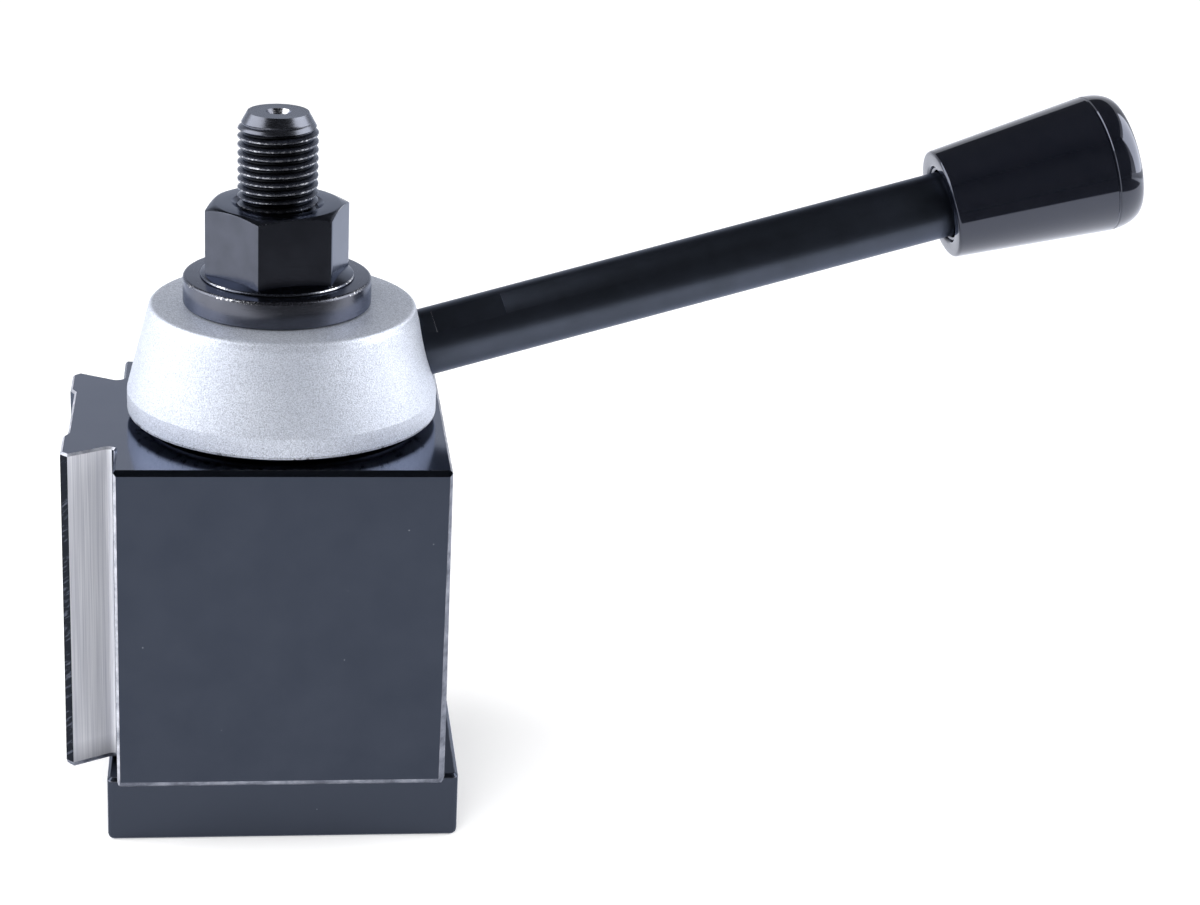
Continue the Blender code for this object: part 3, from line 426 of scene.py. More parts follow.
def wornEdge(name, oxideColour, bareColour, roughness=0.3, metal=1.0):
    # Sharp edges where handling has rubbed the oxide thin, in patches about 4 mm long
    material, tree, shader = newMaterial(name)
    patches = addNode(
        tree, "ShaderNodeTexNoise",
        {"Scale": 1 / (4 * mm), "Detail": 6.0, "Roughness": 0.7, "Vector": objectPlace(tree)},
    )
    colour = paint(tree, oxideColour, bareColour, patches, -0.3, 1.1)
    finish = {**steel, "Metallic": metal}
    dressSurface(tree, shader, colour, patches, (roughness, roughness + 0.1), 0.002 * mm, finish)
    return material


def speckledEdge(name, oxideColour, share, grain):
    # A rim nicked by handling: small bright specks of bare steel in the black
    material, tree, shader = newMaterial(name)
    place = objectPlace(tree)
    nicks = addNode(
        tree, "ShaderNodeTexNoise",
        {"Scale": 1 / grain, "Detail": 4.0, "Roughness": 0.75, "Vector": place},
    )
    patches = addNode(tree, "ShaderNodeTexNoise", {"Scale": 1 / (6 * mm), "Detail": 1.0, "Vector": place})
    both = addNode(tree, "ShaderNodeMath", {0: nicks, 1: patches}, operation="ADD")
    reach = {"From Min": 1.06 - share, "From Max": 1.16 - share}
    colour = paint(tree, oxideColour, "#e4e5ea", both, reach=reach)
    dressSurface(tree, shader, colour, nicks, (0.18, 0.35), 0.02 * mm)
    return material


flank = {
    "dark": "#ced0db",
    "light": "#f6f7fd",
    "broadShade": "#8f919c",
    # the colour of the painted shade at the flank's foot, and how high it reaches
    "footShade": "#6e7079",
    "footShadeHeight": 5 * mm,
    "finish": {**steel, "Metallic": 0.2},
    "roughness": 0.5,
    "spacing": 0.22 * mm,  # real hair lines are finer; these are coarse enough to show
    "length": 26 * mm,
    "lift": 0.006 * mm,
}


def groundFlank(name, look=flank):
    # Bare steel, ground along the dovetail: bright, with vertical hair lines and painted shade at its foot
    material, tree, shader = newMaterial(name)
    place = objectPlace(tree)
    hairs = stretchedLines(tree, place, look["spacing"], look["length"])
    broad = stretchedLines(tree, place, look["spacing"] * 5, look["length"] * 2)
    colour = paint(tree, look["dark"], look["light"], hairs)
    colour = paint(tree, colour, look["broadShade"], broad, 0.0, 0.12)
    # Painted shade: the flank darkens towards its foot, next to the plate
    height = addNode(tree, "ShaderNodeSeparateXYZ", {"Vector": place}).outputs["Z"]
    oiled = {"From Min": blockLow.z, "From Max": blockLow.z + look["footShadeHeight"]}
    colour = paint(tree, colour, look["footShade"], height, 0.75, 0.0, oiled)
    roughness = (look["roughness"] - 0.05, look["roughness"] + 0.06)
    dressSurface(tree, shader, colour, hairs, roughness, look["lift"], look["finish"])
    return material


mill = {
    "dark": "#1b1d22",
    "mark": "#50545f",
    "slant": math.radians(38),
    "spacing": 0.45 * mm,
    "length": 6 * mm,
    "lift": 0.02 * mm,
}


def milledFacet(name, look=mill):
    # Blackened chamfer left by a side mill: slanting tool marks that catch the light
    material, tree, shader = newMaterial(name)
    place = objectPlace(tree, turn=(look["slant"], look["slant"], 0.0))
    marks = stretchedLines(tree, place, look["spacing"], look["length"])
    colour = paint(tree, look["dark"], look["mark"], marks, reach={"From Min": 0.56, "From Max": 0.66})
    dressSurface(tree, shader, colour, marks, (0.3, 0.5), look["lift"])
    return material


chrome = {
    "colour": "#e2e7f2",
    "cloud": "#d3d9e6",
    "dimple": "#7d8494",
    "scuff": "#3b3d42",
    "footLine": "#50535b",
    "finish": {**steel, "Metallic": 0.62},
    "roughness": 0.46,
    "grit": 0.2 * mm,  # real dimples are about 0.1 mm wide; these are coarse enough to show
    "lift": 0.1 * mm,
}


def blastedChrome(name, look=chrome):
    # Satin chrome over bead-blasted steel: a pale skin full of tiny dimples, scuffed along its foot
    material, tree, shader = newMaterial(name)
    place = objectPlace(tree)
    height = addNode(tree, "ShaderNodeSeparateXYZ", {"Vector": place}).outputs["Z"]
    dimples = addNode(
        tree, "ShaderNodeTexNoise",
        {"Scale": 1 / look["grit"], "Detail": 3.0, "Roughness": 0.65, "Vector": place},
    )
    clouds = addNode(tree, "ShaderNodeTexNoise", {"Scale": 1 / (12 * mm), "Detail": 3.0, "Vector": place})
    chips = addNode(
        tree, "ShaderNodeTexNoise",
        {"Scale": 1 / (1.6 * mm), "Detail": 5.0, "Roughness": 0.7, "Vector": place},
    )
    colour = paint(tree, look["colour"], look["cloud"], clouds, 0.0, 0.7)
    colour = paint(tree, colour, look["dimple"], dimples, -0.2, 0.8)

    # Chips in the lowest part of the band
    foot = addNode(tree, "ShaderNodeMapRange", {
        "Value": height, "From Min": collarLow.z + 0.15 * mm, "From Max": collarLow.z + 0.75 * mm,
        "To Min": 1.0, "To Max": 0.0,
    })
    chipped = addNode(tree, "ShaderNodeMapRange", {"Value": chips, "From Min": 0.56, "From Max": 0.6})
    scuff = addNode(tree, "ShaderNodeMath", {0: foot, 1: chipped}, operation="MULTIPLY")
    colour = paint(tree, colour, look["scuff"], scuff, reach=fullReach)

    # A broken dark line just above the foot
    line = addNode(
        tree, "ShaderNodeMath", {0: height, 1: collarLow.z + 0.42 * mm, 2: 0.07 * mm}, operation="COMPARE",
    )
    strength = addNode(
        tree, "ShaderNodeMapRange", {**noiseMiddle, "Value": chips, "To Min": 0.2, "To Max": 0.9},
    )
    line = addNode(tree, "ShaderNodeMath", {0: line, 1: strength}, operation="MULTIPLY")
    colour = paint(tree, colour, look["footLine"], line, reach=fullReach)

    # The flat top is finer than the cone
    cone = addNode(tree, "ShaderNodeMapRange", {
        "Value": height, "From Min": collarHigh.z - 1.6 * mm, "From Max": collarHigh.z - 1.2 * mm,
        "To Min": 1.0, "To Max": 0.3,
    })
    grain = addNode(tree, "ShaderNodeMath", {0: dimples, 1: cone}, operation="MULTIPLY")
    roughness = (look["roughness"] - 0.04, look["roughness"] + 0.08)
    dressSurface(tree, shader, colour, dimples, roughness, look["lift"], look["finish"], grain)
    return material


lacquer = {
    "colour": "#0a0c12",
    "pale": "#101116",
    "roughness": 0.07,
    "swell": 2.5 * mm,
    "swellLift": 0.0012 * mm,
    "finish": {
        "IOR": 1.6, "Specular Tint": "#ccd6f2", "Coat Tint": "#ccd6f2", "Coat Weight": 0.6,
        "Coat Roughness": 0.03, "Coat IOR": 1.6,
    },
}


def glossPhenolic(name, look=lacquer):
    # Compression-moulded black phenolic, buffed to a mirror gloss, with a faint swell in the skin
    material, tree, shader = newMaterial(name)
    place = objectPlace(tree, handleCentre, tuple(handleTurn))
    swell = addNode(
        tree, "ShaderNodeTexNoise", {"Scale": 1 / look["swell"], "Detail": 1.0, "Vector": place},
    )
    scratches = stretchedLines(tree, place, 0.3 * mm, 12 * mm, (0.0, 0.0, 0.5))
    colour = paint(tree, look["colour"], look["pale"], swell)
    roughness = (look["roughness"], look["roughness"] + 0.05)
    dressSurface(tree, shader, colour, scratches, roughness, look["swellLift"], look["finish"], swell)
    return material


# Block with its two dovetails, from the frame's own solid with its edges broken
block = {
    "brokenEdge": 0.14 * mm,
    "sharpFrom": 24,
    "boreZone": 22 * mm,
    "dovetailZone": 9 * mm,
    "hollow": 2.2 * mm,
    "edgeZone": 0.7 * mm,
    "footZone": 1.3 * mm,
    "topZone": 0.5 * mm,
    "frontLip": 1.6 * mm,
}
leftFlanks = [Vector((0.5, side * math.sqrt(0.75), 0)) for side in (-1, 1)]
backFlanks = [Vector((side * math.sqrt(0.75), -0.5, 0)) for side in (-1, 1)]
tipFacets = [Vector((x, y, 0)) * math.sqrt(0.5) for x, y in ((-1, -1), (-1, 1), (1, 1))]


def isHollow(middle, normal):
    # The round hollow between a flank and the side of the block
    near, far = blockHalf + 0.01 * mm, blockHalf + block["hollow"]
    onLeft = near < -middle.x < far and 0.75 < -normal.x < 0.999
    onBack = near < middle.y < far and 0.75 < normal.y < 0.999
    return abs(normal.z) < 0.1 and (onLeft or onBack)


def blockFinish(middle, normal, isBroken):
    # Names a face's finish from where it lies and where it points
    edge = blockHalf - block["edgeZone"]
    foot = middle.z < blockLow.z + block["footZone"] and -0.99 < normal.z < -0.1
    outward = normal.x if middle.x > 0 else -normal.x
    upright = middle.y < -edge and abs(middle.x) > edge and 0.3 < outward < 0.96
    # The foot's rounding and the front right upright edge: partly wear, partly a painted highlight
    if foot or (upright and middle.x > 0):
        return "foot"
    nearTop = middle.z > blockHigh.z - block["topZone"]
    onSide = middle.x > edge or middle.x < -blockHalf - 0.2 * mm
    sideEdge = nearTop and onSide and 0.05 < normal.z < 0.95
    frontEdge = nearTop and middle.y < -blockHalf + block["frontLip"] and 0.72 < normal.z < 0.995
    # These edges take a pale rubbed finish: partly wear, partly a painted highlight
    if upright or sideEdge or frontEdge:
        return "bright"
    # Upward faces of the top: a finer grind, with a lighter oxide colour that is painted sheen
    if normal.z > 0.9 and middle.z > blockHigh.z - 1 * mm:
        return "top"
    if isHollow(middle, normal):
        return "hollow"
    if isBroken:
        return "broken"
    dovetailFrom = blockHigh.y - block["dovetailZone"]
    if -middle.x > dovetailFrom or middle.y > dovetailFrom:
        flanks = leftFlanks if middle.x < -blockHalf else backFlanks
        if any(normal.dot(flankNormal) > 0.45 for flankNormal in flanks):
            return "flank"
        if any(normal.dot(facetNormal) > 0.999 for facetNormal in tipFacets):
            return "facet"
    return "oxide"


def dressBlock():
    finishes = {
        "oxide": groundOxide("black oxide on ground steel"),
        "flank": groundFlank("ground steel dovetail flank"),
        "facet": milledFacet("blackened mill marks"),
        "broken": wornEdge("rubbed block edge", "#3a3e49", "#8d909b"),
        # The top's lighter colour is painted sheen over a finer-ground oxide
        "top": groundOxide(
            "black oxide on fine-ground top with painted sheen", {**oxide, "colour": "#6a6e7a", "pale": "#727682"},
        ),
        # pale edges: partly rubbed steel, partly a painted highlight
        "bright": wornEdge("rubbed edge with painted highlight", "#8a8d98", "#d4d6e0", 0.4, 0.5),
        "hollow": turnedBright("ground root hollow", "#c2c4cd", "#dcdee6", 0.2),
        # lighter foot: partly rubbed steel, partly a painted highlight
        "foot": wornEdge("rubbed block foot with painted highlight", "#5e626e", "#9a9eaa", 0.4, 0.8),
    }
    slots = {name: index for index, name in enumerate(finishes)}
    shape = copySolid("post_block")
    breakEdges(shape, block["sharpFrom"], block["brokenEdge"], slots["broken"], block["boreZone"])
    for face in shape.faces:
        isBroken = face.material_index == slots["broken"]
        face.material_index = slots[blockFinish(face.calc_center_median(), face.normal, isBroken)]
    piece = addPiece("dovetail_block", shape, finishes.values())
    flatten(piece.data, [slots[name] for name in ("oxide", "flank", "facet", "top")])
    settle(piece, "post", "block_steel", "post_block")


plate = {
    "brokenEdge": 0.1 * mm,
    "sharpFrom": 35,
}


def dressPlate():
    shape = copySolid("mounting_plate")
    breakEdges(shape, plate["sharpFrom"], plate["brokenEdge"], 1)
    look = {**oxide, "colour": "#3b404b", "roughness": 0.3, "mottle": 14 * mm}
    finishes = [
        groundOxide("black oxide on milled plate", look),
        wornEdge("rubbed plate edge", "#3a3e49", "#7a7d88"),
    ]
    piece = addPiece("base_plate", shape, finishes)
    flatten(piece.data, [0])
    settle(piece, "base", "plate_steel", "mounting_plate")


dressBlock()
dressPlate()
print("block and plate dressed")


# Screw thread as a node tree: a sheet, wrapped round Z, whose rows follow the helix
def threadTree():
    tree = bpy.data.node_groups.new("screw thread", "GeometryNodeTree")
    tree.is_modifier = True
    inputs = {
        "Float": (
            "Pitch", "Crest Radius", "Root Radius", "Bottom", "Top", "Phase",
            "Top Radius", "Top Slope", "Bottom Radius", "Bottom Slope",
        ),
        "Int": ("Steps Around", "Rows Each Turn"),
        "Bool": ("Internal",),
        "Material": ("Material",),
    }
    for kind, names in inputs.items():
        for name in names:
            tree.interface.new_socket(name, in_out="INPUT", socket_type="NodeSocket" + kind)
    tree.interface.new_socket("Geometry", in_out="OUTPUT", socket_type="NodeSocketGeometry")
    known = {socket.name: socket for socket in addNode(tree, "NodeGroupInput").outputs}

    def solve(*steps):
        # A step names its result, an operation, and what it works on: numbers or names known by then
        for name, operation, *sources in steps:
            operands = {index: known.get(source, source) for index, source in enumerate(sources)}
            known[name] = addNode(tree, "ShaderNodeMath", operands, operation=operation)

    solve(
        ("span", "SUBTRACT", "Top", "Bottom"),
        ("full turns", "DIVIDE", "span", "Pitch"),
        ("full turns", "CEIL", "full turns"),
        ("all turns", "ADD", "full turns", 2.0),
        ("rows", "MULTIPLY", "all turns", "Rows Each Turn"),
        ("row points", "ADD", "rows", 1.0),
        ("points around", "ADD", "Steps Around", 1.0),
    )
    sheet = addNode(tree, "GeometryNodeMeshGrid", {
        "Size X": 1.0, "Size Y": 1.0,
        "Vertices X": known["points around"], "Vertices Y": known["row points"],
    })
    position = addNode(tree, "GeometryNodeInputPosition")
    place = addNode(tree, "ShaderNodeSeparateXYZ", {"Vector": position}).outputs
    known.update({"across": place["X"], "along": place["Y"]})
    solve(
        ("share", "ADD", "across", 0.5),
        ("row", "ADD", "along", 0.5),
        ("row", "MULTIPLY", "row", "rows"),
        ("row", "ROUND", "row"),
        ("turn", "DIVIDE", "row", "Rows Each Turn"),
        ("turn", "ADD", "turn", -1.0),
        ("rise", "ADD", "turn", "share"),
        ("rise", "ADD", "rise", "Phase"),
        ("rise", "MULTIPLY", "rise", "Pitch"),
        ("height", "ADD", "Bottom", "rise"),
        ("height", "MAXIMUM", "height", "Bottom"),
        ("height", "MINIMUM", "height", "Top"),
        ("wave", "FRACT", "turn"),
        ("wave", "MULTIPLY", "wave", 2.0),
        ("wave", "SUBTRACT", "wave", 1.0),
        ("wave", "ABSOLUTE", "wave"),
        ("top limit", "SUBTRACT", "Top", "height"),
        ("top limit", "MULTIPLY", "top limit", "Top Slope"),
        ("top limit", "ADD", "Top Radius", "top limit"),
        ("bottom limit", "SUBTRACT", "height", "Bottom"),
        ("bottom limit", "MULTIPLY", "bottom limit", "Bottom Slope"),
        ("bottom limit", "ADD", "Bottom Radius", "bottom limit"),
    )
    # The flat crests and roots of the profile take 16 % of its wave each
    known["profile"] = addNode(tree, "ShaderNodeMapRange", {
        "Value": known["wave"], "From Min": 0.16, "From Max": 0.84,
        "To Min": known["Root Radius"], "To Max": known["Crest Radius"],
    })
    solve(
        ("outside", "MINIMUM", "profile", "top limit"),
        ("outside", "MINIMUM", "outside", "bottom limit"),
        ("inside", "MAXIMUM", "profile", "top limit"),
        ("inside", "MAXIMUM", "inside", "bottom limit"),
    )
    known["radius"] = addNode(
        tree, "GeometryNodeSwitch",
        {"Switch": known["Internal"], "False": known["outside"], "True": known["inside"]},
        input_type="FLOAT",
    )
    solve(
        ("angle", "MULTIPLY", "share", 2 * math.pi),
        ("x", "COSINE", "angle"),
        ("x", "MULTIPLY", "radius", "x"),
        ("y", "SINE", "angle"),
        ("y", "MULTIPLY", "radius", "y"),
    )
    wrapped = addNode(
        tree, "ShaderNodeCombineXYZ", {"X": known["x"], "Y": known["y"], "Z": known["height"]},
    )
    moved = addNode(tree, "GeometryNodeSetPosition", {"Geometry": sheet, "Position": wrapped})
    joined = addNode(tree, "GeometryNodeMergeByDistance", {"Distance": 0.002 * mm, "Geometry": moved})
    real = addNode(tree, "GeometryNodeRealizeInstances", {"Geometry": joined})
    finished = addNode(
        tree, "GeometryNodeSetMaterial", {"Geometry": real, "Material": known["Material"]},
    )
    addNode(tree, "NodeGroupOutput", {"Geometry": finished})
    return tree


screwThread = threadTree()


def threadSkin(name, sizes, material):
    # Runs the tree with these sizes and returns its mesh as bmesh
    holder = bpy.data.objects.new(name, bpy.data.meshes.new(name))
    bpy.context.scene.collection.objects.link(holder)
    modifier = holder.modifiers.new("thread", "NODES")
    modifier.node_group = screwThread
    sockets = {s.name: s.identifier for s in screwThread.interface.items_tree if s.in_out == "INPUT"}
    for label, size in sizes.items():
        modifier[sockets[label]] = size
    modifier[sockets["Material"]] = material
    bakeModifiers(holder)
    shape = bmesh.new()
    shape.from_mesh(holder.data)
    bpy.data.objects.remove(holder)
    return shape


def weld(first, second):
    # Adds the second shape to the first and closes the seam between them
    carrier = bpy.data.meshes.new("seam")
    second.to_mesh(carrier)
    second.free()
    first.from_mesh(carrier)
    bpy.data.meshes.remove(carrier)
    bmesh.ops.remove_doubles(first, verts=first.verts, dist=0.004 * mm)
    bmesh.ops.recalc_face_normals(first, faces=first.faces)
    for face in first.faces:
        face.material_index = 0
    return first


thread = {
    "pitch": 1.5 * mm,
    "crest": 6.93 * mm,
    "root": 6.08 * mm,
    "phase": 0.0,
    "clearance": 0.11 * mm,
}
stud = {
    "threadFrom": 84.0 * mm,
    "tipRadius": 5.27 * mm,
    "tipSlope": 0.552,
    "sinkRadius": 2.15 * mm,
    "drillRadius": 1.0 * mm,
    "drillDepth": 3.5 * mm,
    "footChamfer": 1.0 * mm,
    "steps": 96,
}


def dressStud():
    look = {
        **turned, "colour": "#54565e", "pale": "#60636c", "roughness": 0.27,
        "spacing": 0.12 * mm, "lift": 0.0015 * mm, "wornFrom": 6.82 * mm,
    }
    material = turnedOxide("black oxide on cut thread", look, (studX, 0, 0))
    top = studHigh.z
    sizes = {
        "Pitch": thread["pitch"], "Crest Radius": thread["crest"], "Root Radius": thread["root"],
        "Bottom": stud["threadFrom"], "Top": top, "Phase": thread["phase"],
        "Top Radius": stud["tipRadius"], "Top Slope": stud["tipSlope"],
        "Bottom Radius": thread["root"], "Bottom Slope": 1.0,
        "Steps Around": stud["steps"], "Rows Each Turn": 12, "Internal": False,
    }
    shape = threadSkin("stud_thread", sizes, material)
    sinkDepth = (stud["sinkRadius"] - stud["drillRadius"]) * math.sqrt(3)
    tip = [
        (stud["tipRadius"], top),
        (stud["sinkRadius"], top),
        (stud["drillRadius"], top - sinkDepth),
        (stud["drillRadius"], top - stud["drillDepth"]),
        (0.0, top - stud["drillDepth"] - stud["drillRadius"] / 2),
    ]
    foot = [
        (thread["root"], stud["threadFrom"]),
        (thread["crest"], stud["threadFrom"] - stud["footChamfer"]),
        (thread["crest"], studLow.z + stud["footChamfer"]),
        (thread["crest"] - stud["footChamfer"], studLow.z),
        (0.0, studLow.z),
    ]
    for profile in (tip, foot):
        shape = weld(shape, spinMesh(profile, stud["steps"]))
    drilledFrom = top - 2 * stud["drillDepth"]
    markFaces(shape, lambda radius, height, slope: height > drilledFrom and radius < stud["sinkRadius"])
    shape.transform(Matrix.Translation((studX, 0, 0)))
    sink = speckledEdge("bright centre drilling", "#5a5c64", 0.02, 0.3 * mm)
    piece = addPiece("threaded_stud", shape, [material, sink], 40)
    settle(piece, "base", "stud_steel", "clamp_stud")


dressStud()
print("stud threaded")


# Hexagon nut with a round seat, on the same helix as the stud
nut = {
    "acrossFlats": 22.4 * mm,
    "cornerRadius": 12.86 * mm,
    "turn": 14.7,
    "flatRadius": 10.85 * mm,
    "chamfer": math.radians(23.0),
    "seatRadius": 13.38 * mm,
    "seatEdge": 0.5 * mm,
    "seatGap": 0.27 * mm,
    "footSlope": 0.3,
    "rim": 0.07 * mm,
    "sink": 0.9 * mm,
    "foot": 0.4 * mm,
    "steps": 192,
}
nutTop = nutHigh.z
nutBottom = nutLow.z - nut["seatGap"]  # the frame leaves this gap over the washer
nutBore = thread["crest"] + thread["clearance"]


def nutColumn(angle):
    # From the countersink over the hexagon and the seat to the bore's foot, at one angle
    rim = nut["rim"]
    fromMiddle = (angle % (math.pi / 3)) - math.pi / 6
    hexRadius = min(nut["acrossFlats"] / 2 / math.cos(fromMiddle), nut["cornerRadius"])
    shoulder = nutTop - max(hexRadius - nut["flatRadius"], 0.0) * math.tan(nut["chamfer"])
    seatTop = nutBottom + nut["seatEdge"]
    hexBottom = seatTop + (nut["seatRadius"] - hexRadius) * nut["footSlope"]
    seatRounding = nut["seatEdge"] * 0.8
    return [
        (nutBore + nut["sink"], nutTop),
        (nut["flatRadius"] - rim, nutTop),
        (nut["flatRadius"] + rim, nutTop - rim * 0.3),
        (hexRadius - rim, shoulder + rim * 0.45),
        (hexRadius - rim * 0.25, shoulder - rim * 0.2),
        (hexRadius, shoulder - rim),
        (hexRadius, shoulder - 2 * rim),
        (hexRadius, hexBottom + 2 * rim),
        (hexRadius, hexBottom + rim),
        (hexRadius - rim * 0.6, hexBottom),
        *arcPoints((nut["seatRadius"] - seatRounding, seatTop - seatRounding), seatRounding, 78, 0, 5),
        (nut["seatRadius"], nutBottom + 0.1 * mm),
        (nut["seatRadius"] - 0.1 * mm, nutBottom),
        (nutBore + nut["foot"], nutBottom),
    ]


def nutSkin():
    columns = []
    for step in range(nut["steps"]):
        angle = 2 * math.pi * step / nut["steps"]
        columns.append([(r * math.cos(angle), r * math.sin(angle), z) for r, z in nutColumn(angle)])
    return gridShape(columns, closed=True)


def isNutRim(radius, height, slope):
    # The hexagon's chamfered corners and the edge of the round seat
    corner = 0.35 < slope < 0.9 and radius > nut["flatRadius"] and height > nutBottom + 2 * mm
    onSeat = radius > nut["seatRadius"] - nut["seatEdge"] and height < nutTop - 5 * mm
    return corner or (onSeat and 0.2 < slope < 0.9)


def dressNut():
    look = {
        **turned, "colour": "#4a4d56", "pale": "#52555f", "roughness": 0.19, "mottle": 4 * mm,
        "spacing": 0.16 * mm, "around": 0.8, "lift": 0.0008 * mm,
    }
    material = turnedOxide("black oxide on bar-turned nut", look, (studX, 0, 0))
    start = (nutBottom - stud["threadFrom"]) / thread["pitch"]
    sizes = {
        "Pitch": thread["pitch"], "Crest Radius": nutBore,
        "Root Radius": thread["root"] + thread["clearance"], "Bottom": nutBottom, "Top": nutTop,
        "Phase": (thread["phase"] - start + nut["turn"] / 360) % 1.0,
        "Top Radius": nutBore + nut["sink"], "Top Slope": -1.0,
        "Bottom Radius": nutBore + nut["foot"], "Bottom Slope": -1.0,
        "Steps Around": nut["steps"], "Rows Each Turn": 10, "Internal": True,
    }
    shape = weld(threadSkin("nut_thread", sizes, material), nutSkin())
    markFaces(shape, isNutRim)
    shape.transform(Matrix.Translation((studX, 0, 0)) @ Matrix.Rotation(math.radians(nut["turn"]), 4, "Z"))
    rim = speckledEdge("nicked nut edges", "#50535c", -0.03, 0.3 * mm)
    piece = addPiece("hexagon_nut", shape, [material, rim], 30)
    settle(piece, "nut", "nut_steel", "clamp_nut")


dressNut()
print("nut threaded")


# Washer under the nut
washer = {
    "boreRadius": 7.5 * mm,
    "boreChamfer": 0.3 * mm,
    "topRounding": 0.55 * mm,
    "footRounding": 0.45 * mm,
    "gap": 0.28 * mm,
    "steps": 160,
}


def dressWasher():
    look = {
        **turned, "colour": "#575961", "pale": "#5f616a", "roughness": 0.24, "spacing": 0.14 * mm,
    }
    material = turnedOxide("black oxide on turned washer", look, (studX, 0, 0))
    outer = (washerHigh.x - washerLow.x) / 2
    bottom = washerLow.z - washer["gap"]  # the frame leaves this gap over the sleeve
    inner, chamfer = washer["boreRadius"], washer["boreChamfer"]
    profile = roundedProfile(
        [
            (inner, washerHigh.z - chamfer, 0),
            (inner + chamfer, washerHigh.z, 0),
            (outer, washerHigh.z, washer["topRounding"]),
            (outer, bottom, washer["footRounding"]),
            (inner + chamfer, bottom, 0),
            (inner, bottom + chamfer, 0),
        ],
        6,
    )
    shape = spinMesh(profile, washer["steps"], closed=True)
    markFaces(shape, lambda radius, height, slope: 0.1 < slope < 0.97 and radius > outer - 0.6 * mm)
    shape.transform(Matrix.Translation((studX, 0, 0)))
    rim = speckledEdge("nicked washer rim", "#54565e", -0.07, 0.35 * mm)
    piece = addPiece("round_washer", shape, [material, rim])
    settle(piece, "washer", "washer_steel", "clamp_washer")


# Collar with its socket for the handle
collar = {
    "rim": 0.9 * mm,
    "shoulder": 0.6 * mm,
    "band": 3.7 * mm,
    "foot": 0.35 * mm,
    "innerRadius": 16.2 * mm,
    "neckRadius": 10.3 * mm,
    "ledge": 12.3 * mm,
    "socketFrom": 19.0 * mm,
    "socketTo": 40.0 * mm,
    "socketGap": 0.06 * mm,
    "steps": 192,
}
rod = {
    "radius": 5.95 * mm,
    "start": 19.6 * mm,
    "neckRadius": 5.0 * mm,
    "neckEnd": 24.9 * mm,
    "exit": 25.7 * mm,
    "flatsAcross": 11.0 * mm,
    "flatsLength": 12.7 * mm,
    "flatsOffset": 2.5 * mm,
    "flatsRoll": math.radians(-53.0),
    "tangRadius": 4.0 * mm,
    "tangLength": 18.0 * mm,
    "steps": 112,
}


def dressCollar():
    radius = (collarHigh.x - collarLow.x) / 2
    coneFoot = collarLow.z + collar["band"]
    topRadius = radius - (collarHigh.z - coneFoot) * math.tan(handle["climb"])
    ledge = collarLow.z + collar["ledge"]
    profile = roundedProfile(
        [
            (collar["neckRadius"], collarHigh.z, 0),
            (topRadius, collarHigh.z, collar["rim"]),
            (radius, coneFoot, collar["shoulder"]),
            (radius, collarLow.z, collar["foot"]),
            (collar["innerRadius"], collarLow.z, 0),
            (collar["innerRadius"], ledge, 0),
            (collar["neckRadius"], ledge, 0),
        ],
        6,
    )
    material = blastedChrome("bead-blasted satin chrome")
    piece = addPiece("cone_collar", spinMesh(profile, collar["steps"], closed=True), [material])
    socketRadius = rod["radius"] + collar["socketGap"]
    socket = spinMesh(
        [
            (0.0, collar["socketTo"]),
            (socketRadius, collar["socketTo"]),
            (socketRadius, collar["socketFrom"]),
            (0.0, collar["socketFrom"]),
        ],
        collar["steps"] // 2,
    )
    socket.transform(handlePlace)
    cutAway(piece, socket)
    smoothMesh(piece.data)
    settle(piece, "cam", "collar_steel", "collar")


def dressThrustRing():
    look = {**turned, "colour": "#2c2e34", "pale": "#34363d", "roughness": 0.35}
    outer, inner, rounding = (ringHigh.x - ringLow.x) / 2, 20.3 * mm, 0.2 * mm
    profile = roundedProfile([
        (inner, ringHigh.z, 0),
        (outer, ringHigh.z, rounding),
        (outer, ringLow.z, rounding),
        (inner, ringLow.z, 0),
    ])
    shape = spinMesh(profile, 128, closed=True)
    piece = addPiece("thrust_ring", shape, [turnedOxide("oiled black thrust ring", look)])
    settle(piece, "post", "thrust_ring_steel", "upper_thrust_ring")


dressWasher()
dressCollar()
dressThrustRing()
print("washer, collar and ring turned")


# Tapered knob, in the handle's own frame like the rod
knob = {
    "start": 123.0 * mm,
    "length": 35.0 * mm,
    "smallRadius": 9.9 * mm,
    "smallEdge": 0.6 * mm,
    "largeRadius": 12.46 * mm,
    "largeEdge": 5.0 * mm,
    "endDrop": 2.3 * mm,
    "partingLine": 0.19 * mm,
    "mouthRadius": 7.0 * mm,
    "mouthEdge": 0.5 * mm,
    "mouthDepth": 2.4 * mm,
    "bead": 0.4 * mm,
    "insertRadius": 6.3 * mm,
    "insertDepth": 20.6 * mm,
    "steps": 160,
}
mouthFloor = knob["start"] + knob["mouthDepth"]


